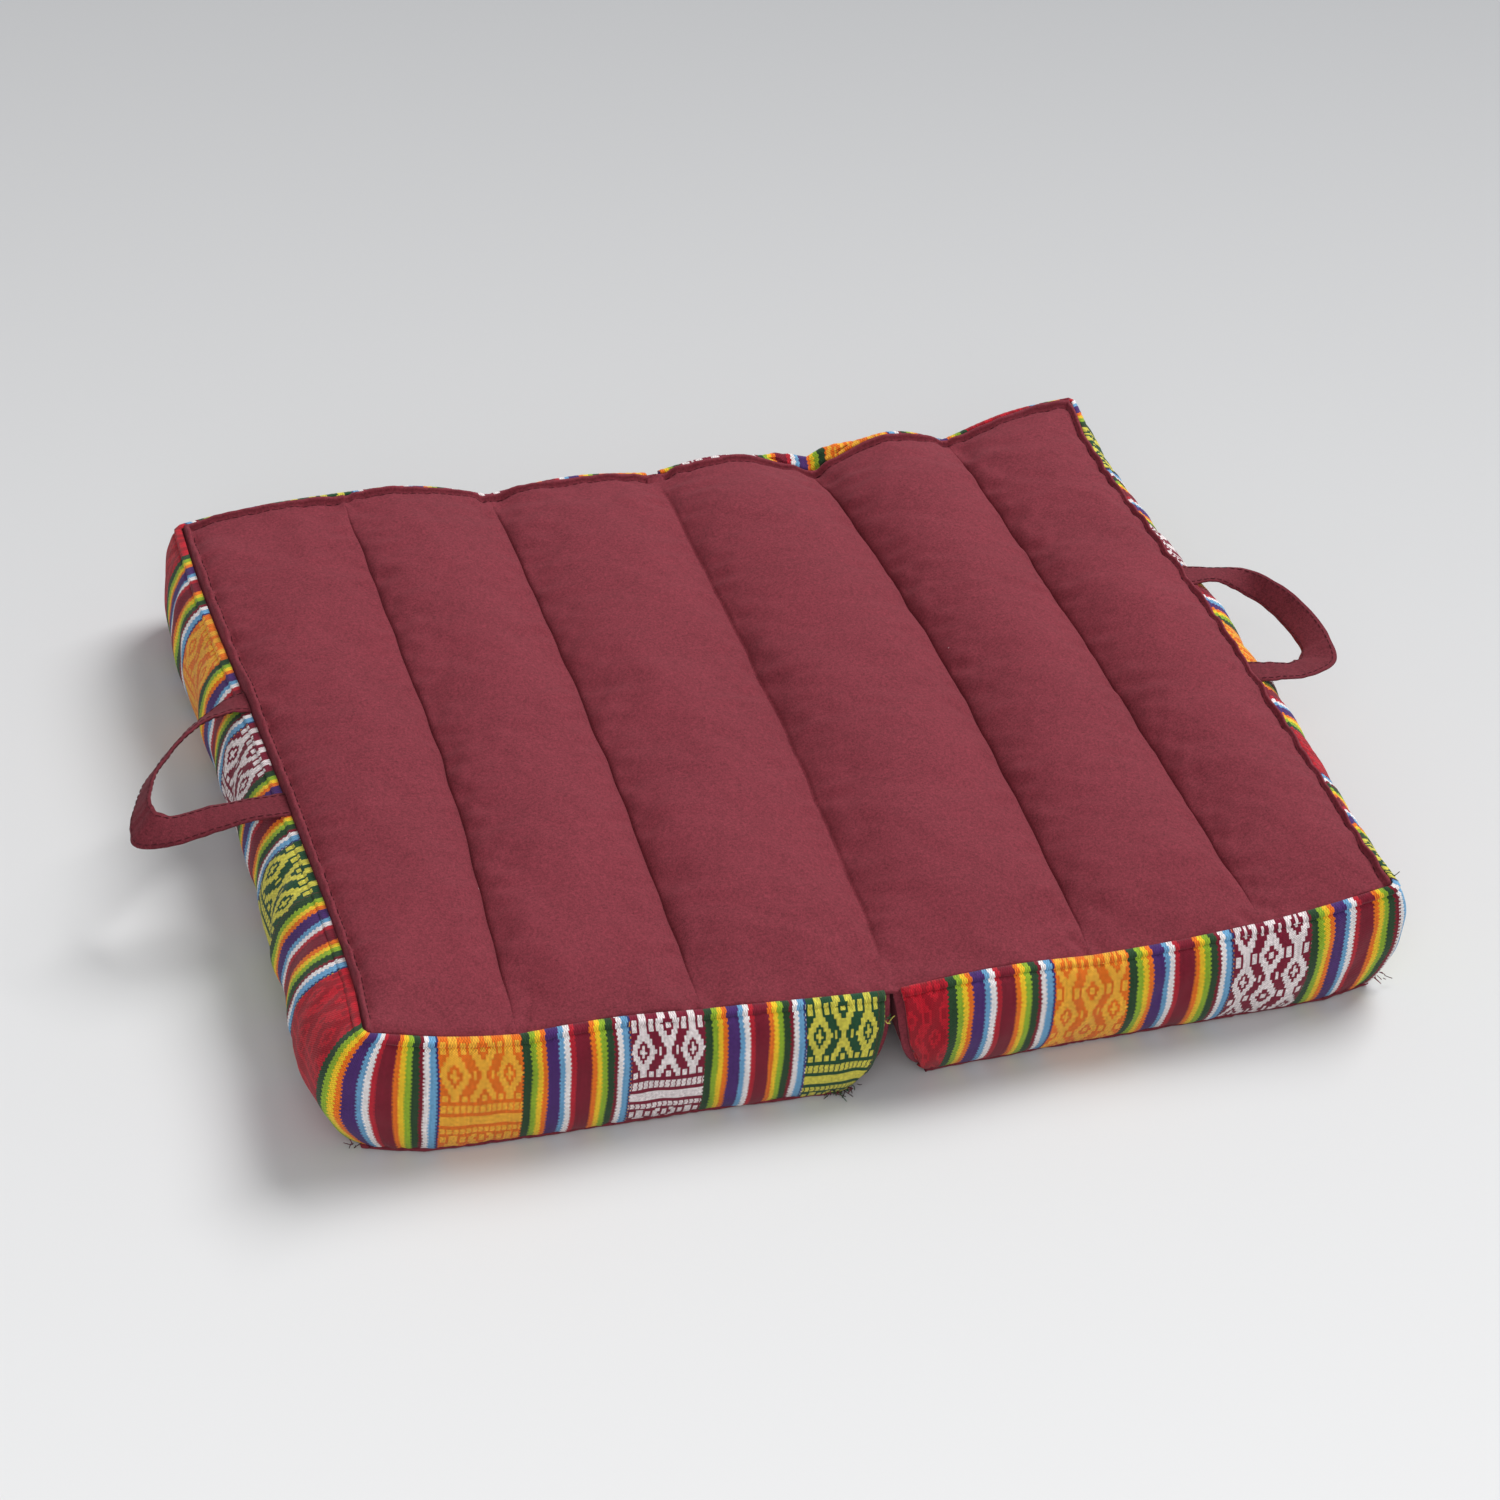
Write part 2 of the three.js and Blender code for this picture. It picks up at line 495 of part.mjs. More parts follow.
// A flat strap swept through its stations
function buildStrap(name, pad, stations) {
  const skin = new Skin();
  const rimAt = (y) => {
    let low = 0;
    let high = 1;
    for (let n = 0; n < RIM_HALVINGS; n += 1) {
      const half = (low + high) / 2;
      if (topPoint(pad.outer, half).y < y) low = half;
      else high = half;
    }
    return topPoint(pad.outer, low);
  };
  const placed = stations.map((s) => {
    if (!s.root) return s;
    const rim = rimAt(s.y);
    return { ...s, x: rim.x - pad.out * STRAP_ROOT_INSET, z: rim.z + STRAP_ROOT_RISE };
  });
  const route = placed.map((s) => new THREE.Vector3(s.x, s.y, s.z));
  const path = new THREE.CatmullRomCurve3(route, false, 'centripetal');
  const indices = placed.map((_, n) => n);
  const rows = [];
  for (let n = 0; n <= STRAP_STEPS; n += 1) {
    const t = n / STRAP_STEPS;
    const at = t * (placed.length - 1);
    const middle = path.getPoint(t);
    const ahead = path.getTangent(t);
    const value = (key) => throughValues(indices, placed.map((s) => s[key]), at);
    const turn = THREE.MathUtils.degToRad(value('turn'));
    const tilt = THREE.MathUtils.degToRad(value('tilt'));
    const across = new THREE.Vector3(
      Math.cos(turn) * Math.cos(tilt), Math.sin(turn) * Math.cos(tilt), Math.sin(tilt),
    );
    const face = new THREE.Vector3().crossVectors(across, ahead).normalize();
    const half = value('width') / 2;
    const corners = [[-1, -1], [1, -1], [1, 1], [-1, 1]];
    rows.push(corners.map(([w, h]) => skin.add(middle.clone()
      .addScaledVector(across, w * half).addScaledVector(face, (h * STRAP_THICK) / 2))));
  }
  for (let n = 1; n < rows.length; n += 1) skin.strip(rows[n - 1], rows[n], true);
  const first = rows[0];
  const last = rows[rows.length - 1];
  skin.quad(first[3], first[2], first[1], first[0]);
  skin.quad(last[0], last[1], last[2], last[3]);
  return skin.mesh(name, MAROON_DEEP, true);
}

const cushion = new THREE.Group();
cushion.add(
  buildPad('left_pad', LEFT),
  buildPad('right_pad', RIGHT),
  buildBand('left_band', LEFT),
  buildBand('right_band', RIGHT),
  buildFoldStrip(),
  buildStrap('left_handle', LEFT, LEFT_STRAP),
  buildStrap('right_handle', RIGHT, RIGHT_STRAP),
);
cushion.position.set(-MIDDLE.x, -MIDDLE.y, 0);

export default cushion;
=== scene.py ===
"""Looks of a folding meditation cushion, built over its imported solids.

Sizes are in millimetres until a mesh is made.
"""

import logging
import math
from dataclasses import dataclass, field
from enum import Enum

import bmesh
import bpy
import numpy as np
from mathutils import Matrix, Vector


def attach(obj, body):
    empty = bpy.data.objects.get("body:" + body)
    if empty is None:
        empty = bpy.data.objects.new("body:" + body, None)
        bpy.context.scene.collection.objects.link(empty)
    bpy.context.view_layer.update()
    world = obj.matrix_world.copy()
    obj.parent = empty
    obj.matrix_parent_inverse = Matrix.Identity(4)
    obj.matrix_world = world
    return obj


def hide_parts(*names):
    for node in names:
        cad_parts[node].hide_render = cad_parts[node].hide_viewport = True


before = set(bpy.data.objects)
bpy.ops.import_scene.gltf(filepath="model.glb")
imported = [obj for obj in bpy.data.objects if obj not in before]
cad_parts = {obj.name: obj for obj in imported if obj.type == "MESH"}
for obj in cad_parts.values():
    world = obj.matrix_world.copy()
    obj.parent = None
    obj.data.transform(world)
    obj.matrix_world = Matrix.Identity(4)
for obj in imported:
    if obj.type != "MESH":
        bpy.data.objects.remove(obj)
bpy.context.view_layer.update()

logging.basicConfig(level=logging.INFO, format="%(message)s")
log = logging.getLogger("cushion")

MM = 0.001  # metres
MIDDLE = np.array([-6.0, -1.25, 0.0])  # the part's origin, in the seams' frame
CHANNELS = 3  # in each pad
WIDTH = 415.0
DEPTH = 332.0
CHANNEL_WIDTH = WIDTH / (2 * CHANNELS)
PAD_INSET = 1.7  # from the band's outer face in to the pad
STRAP_WIDTH = 13.5


class Side(Enum):
    """The two pads, by the side of the fold that they lie on."""

    LEFT = -1
    RIGHT = 1


# Shape: the form that every piece is laid on
def through(places: list[float], values: list[float], at: np.ndarray) -> np.ndarray:
    """Smooth curve through values, without overshoot.

    Args:
        places: Where the values are, ascending.
        values: The value at each place.
        at: Where the curve is read.

    Returns:
        The curve's value at each place in at.
    """
    p, q = np.asarray(places, float), np.asarray(values, float)
    t = np.clip(np.asarray(at, float), p[0], p[-1])
    k = np.clip(np.searchsorted(p, t, side="left") - 1, 0, len(p) - 2)
    rise = np.diff(q) / np.diff(p)
    slope = np.concatenate([[rise[0]], np.zeros(len(p) - 2), [rise[-1]]])
    same = rise[:-1] * rise[1:] > 0
    total = np.where(same, rise[:-1] + rise[1:], 1.0)
    slope[1:-1] = np.where(same, 2 * rise[:-1] * rise[1:] / total, 0.0)
    span = p[k + 1] - p[k]
    s = (t - p[k]) / span
    s2, s3 = s * s, s * s * s
    return ((2 * s3 - 3 * s2 + 1) * q[k] + (s3 - 2 * s2 + s) * span * slope[k]
            + (3 * s2 - 2 * s3) * q[k + 1] + (s3 - s2) * span * slope[k + 1])


def ripple(along: np.ndarray, wavelength: float, seed: int) -> np.ndarray:
    """Uneven waves along a line, from -1 to 1, the same on each run.

    Args:
        along: Distance along the line.
        wavelength: Middle wavelength of the waves.
        seed: Which waves.

    Returns:
        The wave's height at each place.
    """
    rng = np.random.default_rng(seed)
    total = np.zeros_like(np.asarray(along, float))
    for stretch in (0.62, 0.83, 1.0, 1.31, 1.9):
        total += np.sin(2 * np.pi * along / (wavelength * stretch) + rng.uniform(0, 6.28))
    return total / 3.2


def lumps(x: np.ndarray, y: np.ndarray, size: float, seed: int) -> np.ndarray:
    """Soft lumps over a surface, from about -1 to 1.

    Args:
        x: Place across.
        y: Place in depth.
        size: Middle size of a lump.
        seed: Which lumps.

    Returns:
        The height of the lumps at each place.
    """
    rng = np.random.default_rng(seed)
    total = np.zeros_like(x)
    for _ in range(9):
        turn, stretch, start = rng.uniform(0, 6.28), rng.uniform(0.6, 1.7), rng.uniform(0, 6.28)
        total += np.sin(2 * np.pi * (x * np.cos(turn) + y * np.sin(turn)) / (size * stretch) + start)
    return total / 4.0


def bell(distance: np.ndarray, width: float) -> np.ndarray:
    """Bell curve, 1 at no distance."""
    return np.exp(-((distance / width) ** 2))


def beside(distance: np.ndarray, reach: float) -> np.ndarray:
    """Weight of what a seam gathers beside it: none on the seam, most a little way off, then fading."""
    return np.exp(-distance / reach) * (1 - np.exp(-distance / 3))


@dataclass(frozen=True)
class Walls:
    """How far one pad's walls stand out, in the order back, middle, front or outer, middle, fold."""

    outer: tuple[float, float, float]
    outer_foot: float
    front: tuple[float, float, float]
    front_foot: float
    back: tuple[float, float, float]
    back_foot: float


@dataclass
class Places:
    """Places along a pad's outline, one array entry each."""

    u: np.ndarray
    v: np.ndarray
    on_outer: np.ndarray
    on_fold: np.ndarray
    on_front: np.ndarray
    on_back: np.ndarray


@dataclass(frozen=True)
class Form:
    """The cushion's form: seams and crowns, rims and walls, as the solids have them."""

    stations: tuple[float, ...] = (0, 0.12, 0.5, 0.88, 1)
    seam_x: tuple[tuple[float, ...], ...] = (
        (-206.6, -203.3, -205.7, -209.9, -208.5), (-148.8, -145.9, -137.8, -137.4, -137.3),
        (-77.5, -76, -72.4, -71.3, -71), (-2.3, 0.2, 4.2, 4.7, 4.9),
        (81, 83.2, 85.8, 82.2, 79.6), (154.1, 152.4, 149.3, 145.8, 145),
        (210.4, 210.4, 209.8, 203.4, 205.9),
    )
    seam_z: tuple[tuple[float, ...], ...] = (
        (58.8, 54.5, 54.4, 54.9, 51.5), (48.3, 50.5, 52.3, 54.7, 56.5),
        (47.3, 47.9, 49.8, 48, 45.2), (44.6, 45, 47.8, 47.7, 46.5),
        (43.9, 44.5, 46.8, 43, 37.7), (46.9, 46.8, 48.9, 48.1, 44.8),
        (55.7, 52.6, 54.5, 55.6, 59.8),
    )
    crowns: tuple[tuple[float, ...], ...] = (
        (51.9, 61.3, 64.1, 61.1, 55.6), (49.8, 59.2, 62.9, 60.9, 54.8), (46, 57.6, 61.8, 58, 49.8),
        (46.5, 58.2, 63.1, 59.8, 51.7), (44.5, 56.9, 62.1, 60, 53.5), (50.4, 59.4, 63.3, 61, 55.5),
    )
    front_rim: tuple[tuple[float, float], ...] = (
        (-208, -163), (-149, -166.5), (-77, -168), (0, -171), (81, -169.5), (154, -169.5), (210, -168.5),
    )
    back_rim: tuple[tuple[float, float], ...] = (
        (-208, 163), (-71, 167), (5, 167), (80, 166.5), (145, 168.5), (205, 170),
    )
    walls: dict[Side, Walls] = field(default_factory=lambda: {
        Side.LEFT: Walls((22, 12, 8), 3, (7, 8, 8), 6, (8, 8, 6), 3),
        Side.RIGHT: Walls((9, 15, 10), 3, (6, 8, 9), 2, (8, 8, 6), 3),
    })
    wall_up: tuple[float, ...] = (1.0, 0.88, 0.7, 0.49, 0.28, 0.12, 0.05)
    wall_bulge: tuple[float, ...] = (0, 0.56, 0.9, 0.98, 0.72, 0.3, 0)
    wall_foot: tuple[float, ...] = (0, 0, 0.05, 0.15, 0.5, 0.85, 1)
    wall_fold: tuple[float, ...] = (0, 0.8, 1.6, 3.5, 7.5, 13, 17)
    fold_lean: float = 1.1
    corner_reach: float = 30.0
    corner_pull: float = 0.42
    corner_tuck: float = 5.0
    corner_depth: float = 0.4
    dip_seam: float = 4.0
    dip_reach: float = 0.42
    dip_rise: float = 11.0
    rim_reach: float = 0.1
    rim_roundness: float = 1.1
    crown_roundness: float = 0.65

    def top(self, a: np.ndarray, v: np.ndarray) -> np.ndarray:
        """Points of the top cloth.

        Args:
            a: Channel place, 0 at the left rim and 6 at the right.
            v: Share of the depth, 0 at the front rim and 1 at the back.

        Returns:
            Points, one row each.
        """
        a, v = np.broadcast_arrays(np.asarray(a, float), np.asarray(v, float))
        c = np.clip(np.floor(a).astype(int), 0, 2 * CHANNELS - 1)
        w = a - c

        def at(rows: tuple, which: np.ndarray) -> np.ndarray:
            """Value of the chosen rows of a station table."""
            table = np.stack([through(self.stations, row, v) for row in rows])
            return np.take_along_axis(table, which[None], 0)[0]

        x_left, x_right = at(self.seam_x, c), at(self.seam_x, c + 1)
        z_left, z_right = at(self.seam_z, c), at(self.seam_z, c + 1)
        x = x_left + w * (x_right - x_left)
        y = ((1 - v) * through(*zip(*self.front_rim), x) + v * through(*zip(*self.back_rim), x))
        inward = np.minimum(1, np.minimum(v, 1 - v) / self.rim_reach)
        power = self.rim_roundness + (self.crown_roundness - self.rim_roundness) * inward
        arch = np.maximum(np.sin(np.pi * w), 0) ** power
        crown = at(self.crowns, c) - (z_left + z_right) / 2
        return np.stack([x, y, z_left + w * (z_right - z_left) + crown * arch], -1)

    def fade(self, distance: np.ndarray) -> np.ndarray:
        """Fading weight of a corner at a distance along a side."""
        return np.maximum(0, 1 - distance / self.corner_reach) ** 2

    def wall(self, side: Side, at: Places, row: np.ndarray,
             inside: float = 0.0) -> tuple[np.ndarray, np.ndarray]:
        """Wall points below places of the outline.

        Args:
            side: Which pad.
            at: The places.
            row: How far down, from 0 at the rim to 6 at the foot, one value for all places or one each.
            inside: Depth under the band's outer face.

        Returns:
            The points and the wall's outward normals.
        """
        sign = side.value
        a = at.u if side is Side.LEFT else 2 * CHANNELS - at.u
        rim = self.top(a, at.v)
        end = 0.0 if side is Side.LEFT else 2.0 * CHANNELS
        outer_x = self.top(np.full_like(at.u, end), at.v)[:, 0]
        fold_x = self.top(np.full_like(at.u, CHANNELS), at.v)[:, 0]
        d_outer = np.abs(rim[:, 0] - outer_x)
        d_fold = np.where(at.on_fold, 0, np.abs(rim[:, 0] - fold_x))
        d_front, d_back = at.v * DEPTH, (1 - at.v) * DEPTH
        deep = np.minimum(d_front, d_back)
        keep = 1 - self.corner_pull
        w_outer = np.where(at.on_outer, 1 - self.corner_pull * self.fade(deep), keep * self.fade(d_outer))
        w_fold = np.where(at.on_fold, 1, self.fade(d_fold))
        w_front = np.where(at.on_front, 1 - self.corner_pull * self.fade(d_outer), keep * self.fade(d_front))
        w_back = np.where(at.on_back, 1 - self.corner_pull * self.fade(d_outer), keep * self.fade(d_back))
        bare = at.on_fold & (deep > 0)
        out = np.stack([np.where(bare, -sign, sign * w_outer), np.where(bare, 0, w_back - w_front)], -1)
        out /= np.maximum(np.linalg.norm(out, axis=1, keepdims=True), 1e-9)
        walls = self.walls[side]
        across = np.abs(a - end) / CHANNELS
        tuck = self.corner_tuck * self.fade(np.maximum(d_outer, deep))
        dipped = np.maximum(0, 1 - np.abs(a - self.dip_seam) / self.dip_reach)
        shoulder = np.where(at.on_back, self.dip_rise * np.sin(np.pi / 2 * dipped), 0)
        order = np.arange(7.0)

        def point(k: np.ndarray) -> np.ndarray:
            """Points of the outer face at rows k.

            Args:
                k: How far down, as row.

            Returns:
                The points.
            """
            k = np.clip(k, 0, 6)
            up, bulge = through(order, self.wall_up, k), through(order, self.wall_bulge, k)
            foot, fold = through(order, self.wall_foot, k), through(order, self.wall_fold, k)

            def stand(swell: tuple[float, float, float], base: float, t: np.ndarray) -> np.ndarray:
                """How far one wall stands out."""
                return bulge * through([0, 0.5, 1], swell, t) + foot * base - tuck * foot

            x = sign * (w_outer * stand(walls.outer, walls.outer_foot, at.v) + w_fold * fold * self.fold_lean)
            y = (w_back * stand(walls.back, walls.back_foot, across)
                 - w_front * stand(walls.front, walls.front_foot, across))
            z = up * (rim[:, 2] + shoulder * np.clip(k, 0, 1))
            return np.stack([rim[:, 0] + x, rim[:, 1] + y, z], -1)

        here, above, below = point(row), point(row - 0.4), point(row + 0.4)
        fall = above[:, 2] - below[:, 2]
        flare = ((below[:, :2] - above[:, :2]) * out).sum(1)
        length = np.maximum(np.hypot(fall, flare), 1e-6)
        level, upright = fall / length, flare / length
        settle = np.clip(row, 0, 1)
        level, upright = 1 + (level - 1) * settle, upright * settle
        corner = np.minimum(np.abs(out[:, 0]), np.abs(out[:, 1])) * math.sqrt(2)
        depth = inside * (1 + self.corner_depth * corner)
        way = np.where(at.on_fold[:, None], np.stack([out[:, 0] * 0, np.sign(out[:, 1])], -1), out)
        move = np.where(bare, 0.0, 1.0)
        here[:, 0] -= way[:, 0] * level * depth * move
        here[:, 1] -= way[:, 1] * level * depth * move
        here[:, 2] -= upright * inside * move
        normal = np.stack([out[:, 0] * level, out[:, 1] * level, upright], -1)
        return here, normal


FORM = Form()


def put(name: str, data: bpy.types.ID) -> bpy.types.Object:
    """Puts a new object with the data into the scene.

    Args:
        name: The object's name.
        data: Its mesh, curve, light or camera.

    Returns:
        The object.
    """
    made = bpy.data.objects.new(name, data)
    bpy.context.scene.collection.objects.link(made)
    return made


def mesh_piece(name: str, points: np.ndarray, quads: np.ndarray,
               uv: np.ndarray | None = None) -> bpy.types.Object:
    """Makes a smooth-shaded piece of cloth from a net of points.

    Args:
        name: The piece's name.
        points: Points in millimetres, in the seams' frame.
        quads: Four point numbers a face.
        uv: Place on the cloth of each point, in metres.

    Returns:
        The new object, in metres, in the part's frame.
    """
    mesh = bpy.data.meshes.new(name)
    mesh.from_pydata(((points - MIDDLE) * MM).tolist(), [], quads.tolist())
    mesh.polygons.foreach_set("use_smooth", [True] * len(mesh.polygons))
    if uv is not None:
        layer = mesh.uv_layers.new(name="cloth")
        corners = np.empty(len(mesh.loops), int)
        mesh.loops.foreach_get("vertex_index", corners)
        layer.data.foreach_set("uv", uv[corners].astype(np.float32).ravel())
    mesh.validate()
    mesh.update()
    return put(name, mesh)


def face_outwards(piece: bpy.types.Object) -> None:
    """Turns a closed piece's faces outwards.

    Args:
        piece: The piece.
    """
    work = bmesh.new()
    work.from_mesh(piece.data)
    bmesh.ops.recalc_face_normals(work, faces=work.faces)
    work.to_mesh(piece.data)
    work.free()


def net(rows: np.ndarray, closed: bool = False) -> np.ndarray:
    """Faces between neighbouring rows of point numbers.

    Args:
        rows: Point numbers, one row each.
        closed: Whether each row's end joins its start.

    Returns:
        Four point numbers a face.
    """
    right = np.roll(rows, -1, axis=1)
    if not closed:
        rows, right = rows[:, :-1], right[:, :-1]
    return np.stack([rows[:-1], right[:-1], right[1:], rows[1:]], -1).reshape(-1, 4)


def lengths(points: np.ndarray) -> np.ndarray:
    """Length along a line of points, from its first."""
    return np.concatenate([[0], np.cumsum(np.linalg.norm(np.diff(points, axis=0), axis=1))])


def flat_tube(name: str, upper: np.ndarray, lower: np.ndarray) -> bpy.types.Object:
    """Makes a closed strip of cloth from its two faces.

    Args:
        name: The piece's name.
        upper: Points of one face, by place along and across.
        lower: Points of the other face, in the same order.

    Returns:
        The new object.
    """
    rows = np.concatenate([upper, lower[:, ::-1]], 1)
    count = rows.shape[1]
    ids = np.arange(rows.shape[0] * count).reshape(-1, count)
    caps = [[row[k], row[k + 1], row[count - 2 - k], row[count - 1 - k]]
            for row in (ids[0], ids[-1]) for k in range(count // 2 - 1)]
    piece = mesh_piece(name, rows.reshape(-1, 3), np.vstack([net(ids, closed=True), caps]))
    face_outwards(piece)
    return piece


# Finishes: colours, weaves and materials
Colour = tuple[float, float, float, float]


def linear(red: float, green: float, blue: float) -> Colour:
    """Linear colour from the 0 to 255 values of a screen."""
    parts = [c / 255 for c in (red, green, blue)]
    return (*[c / 12.92 if c < 0.04045 else ((c + 0.055) / 1.055) ** 2.4 for c in parts], 1.0)


class Signal:
    """A value on its way through a node tree; arithmetic on it adds Math nodes."""

    def __init__(self, tree: bpy.types.NodeTree, socket: bpy.types.NodeSocket) -> None:
        """Wraps a socket of a tree."""
        self.tree, self.socket = tree, socket

    def maths(self, operation: str, *others: "Signal | float") -> "Signal":
        """Adds one Math node.

        Args:
            operation: The node's operation.
            others: Its second and third inputs.

        Returns:
            The node's result.
        """
        node = self.tree.nodes.new("ShaderNodeMath")
        node.operation = operation
        for socket, value in zip(node.inputs, (self, *others)):
            if isinstance(value, Signal):
                self.tree.links.new(value.socket, socket)
            else:
                socket.default_value = value
        return Signal(self.tree, node.outputs[0])

    def __add__(self, other: "Signal | float") -> "Signal":
        """Sum."""
        return self.maths("ADD", other)

    def __sub__(self, other: "Signal | float") -> "Signal":
        """Difference."""
        return self.maths("SUBTRACT", other)

    def __mul__(self, other: "Signal | float") -> "Signal":
        """Product."""
        return self.maths("MULTIPLY", other)

    def __truediv__(self, other: "Signal | float") -> "Signal":
        """Quotient."""
        return self.maths("DIVIDE", other)

    def floor(self) -> "Signal":
        """Whole part."""
        return self.maths("FLOOR")

    def size(self) -> "Signal":
        """Value without its sign."""
        return self.maths("ABSOLUTE")

    def below(self, other: "Signal | float") -> "Signal":
        """1 where it is less than other."""
        return self.maths("LESS_THAN", other)

    def above(self, other: "Signal | float") -> "Signal":
        """1 where it is more than other."""
        return self.maths("GREATER_THAN", other)

    def within(self, period: float) -> "Signal":
        """Place within a period, from 0."""
        return self.maths("FLOORED_MODULO", period)

    def from_middle(self, period: float, middle: float) -> "Signal":
        """Distance from the nearest of the middles that come once a period."""
        return ((self + (period / 2 - middle)).within(period) - period / 2).size()

    def wave(self, period: float) -> "Signal":
        """Cosine wave of the period, from -1 to 1."""
        return (self * (2 * math.pi / period)).maths("COSINE")

    def least(self, other: "Signal | float") -> "Signal":
        """The smaller of two."""
        return self.maths("MINIMUM", other)

    def most(self, other: "Signal | float") -> "Signal":
        """The larger of two."""
        return self.maths("MAXIMUM", other)


def mix(tree: bpy.types.NodeTree, share: "Signal | float", first: Colour | bpy.types.NodeSocket,
        second: Colour | bpy.types.NodeSocket, kind: str = "MIX") -> bpy.types.NodeSocket:
    """Mixes two colours.

    Args:
        tree: The tree that gets the node.
        share: How much of the second.
        first: A colour or a colour socket.
        second: A colour or a colour socket.
        kind: The blend type.

    Returns:
        The mixed colour's socket.
    """
    node = tree.nodes.new("ShaderNodeMix")
    node.data_type, node.blend_type = "RGBA", kind
    if isinstance(share, Signal):
        tree.links.new(share.socket, node.inputs["Factor"])
    else:
        node.inputs["Factor"].default_value = share
    for key, value in ((6, first), (7, second)):
        if isinstance(value, bpy.types.NodeSocket):
            tree.links.new(value, node.inputs[key])
        else:
            node.inputs[key].default_value = value
    return node.outputs[2]


def steps(tree: bpy.types.NodeTree, at: Signal, stops: list[tuple[float, Colour]]) -> bpy.types.NodeSocket:
    """Bands of plain colour along a value.

    Args:
        tree: The tree that gets the node.
        at: The value, from 0 to 1.
        stops: Where each colour starts, and the colour.

    Returns:
        The colour's socket.
    """
    node = tree.nodes.new("ShaderNodeValToRGB")
    ramp = node.color_ramp
    ramp.interpolation = "CONSTANT"
    for k, (place, colour) in enumerate(stops):
        stop = ramp.elements[k] if k < 2 else ramp.elements.new(place)
        stop.position, stop.color = place, colour
    tree.links.new(at.socket, node.inputs[0])
    return node.outputs[0]


def noise(tree: bpy.types.NodeTree, place: bpy.types.NodeSocket, scale: float, detail: float = 2.0) -> Signal:
    """Cloudy noise from 0 to 1.

    Args:
        tree: The tree that gets the node.
        place: Coordinates.
        scale: Clouds per unit of the coordinates.
        detail: How much fine noise is added.

    Returns:
        The noise.
    """
    node = tree.nodes.new("ShaderNodeTexNoise")
    node.inputs["Scale"].default_value = scale
    node.inputs["Detail"].default_value = detail
    tree.links.new(place, node.inputs["Vector"])
    return Signal(tree, node.outputs[0])


def split(tree: bpy.types.NodeTree, vector: bpy.types.NodeSocket, scale: float = 1.0) -> list[Signal]:
    """The three parts of a vector, each times a scale.

    Args:
        tree: The tree that gets the node.
        vector: The vector.
        scale: What each part is multiplied by.

    Returns:
        The parts.
    """
    node = tree.nodes.new("ShaderNodeSeparateXYZ")
    tree.links.new(vector, node.inputs[0])
    return [Signal(tree, s) * scale for s in node.outputs]


def grey(tree: bpy.types.NodeTree, value: bpy.types.NodeSocket) -> bpy.types.NodeSocket:
    """Grey of a value.

    Args:
        tree: The tree that gets the node.
        value: The value's socket.

    Returns:
        The grey's socket.
    """
    node = tree.nodes.new("ShaderNodeCombineColor")
    for k in range(3):
        tree.links.new(value, node.inputs[k])
    return node.outputs[0]


def set_cloth(tree: bpy.types.NodeTree, colour: bpy.types.NodeSocket, height: bpy.types.NodeSocket,
              constants: dict[str, float | Colour], bump_settings: tuple[float, float]) -> None:
    """Sets a cloth's shader.

    Args:
        tree: The material's tree.
        colour: Socket of its colour.
        height: Socket of its weave's height.
        constants: Values of the shader's own sockets.
        bump_settings: Strength of the weave's relief, and its height in metres.
    """
    shader = tree.nodes["Principled BSDF"]
    tree.links.new(colour, shader.inputs["Base Color"])
    for socket, value in constants.items():
        shader.inputs[socket].default_value = value
    bump = tree.nodes.new("ShaderNodeBump")
    bump.inputs["Strength"].default_value, bump.inputs["Distance"].default_value = bump_settings
    tree.links.new(height, bump.inputs["Height"])
    tree.links.new(bump.outputs[0], shader.inputs["Normal"])


@dataclass(frozen=True)
class Group:
    """A shader node group with a vector input and named outputs."""

    name: str
    outputs: tuple[tuple[str, str], ...]

    def make(self) -> tuple[bpy.types.NodeTree, bpy.types.NodeSocket, bpy.types.Node]:
        """Starts the group.

        Returns:
            The tree, its input vector's socket and its output node.
        """
        tree = bpy.data.node_groups.new(self.name, "ShaderNodeTree")
        tree.interface.new_socket("Vector", in_out="INPUT", socket_type="NodeSocketVector")
        for name, kind in self.outputs:
            tree.interface.new_socket(name, in_out="OUTPUT", socket_type=kind)
        start, end = tree.nodes.new("NodeGroupInput"), tree.nodes.new("NodeGroupOutput")
        return tree, start.outputs["Vector"], end


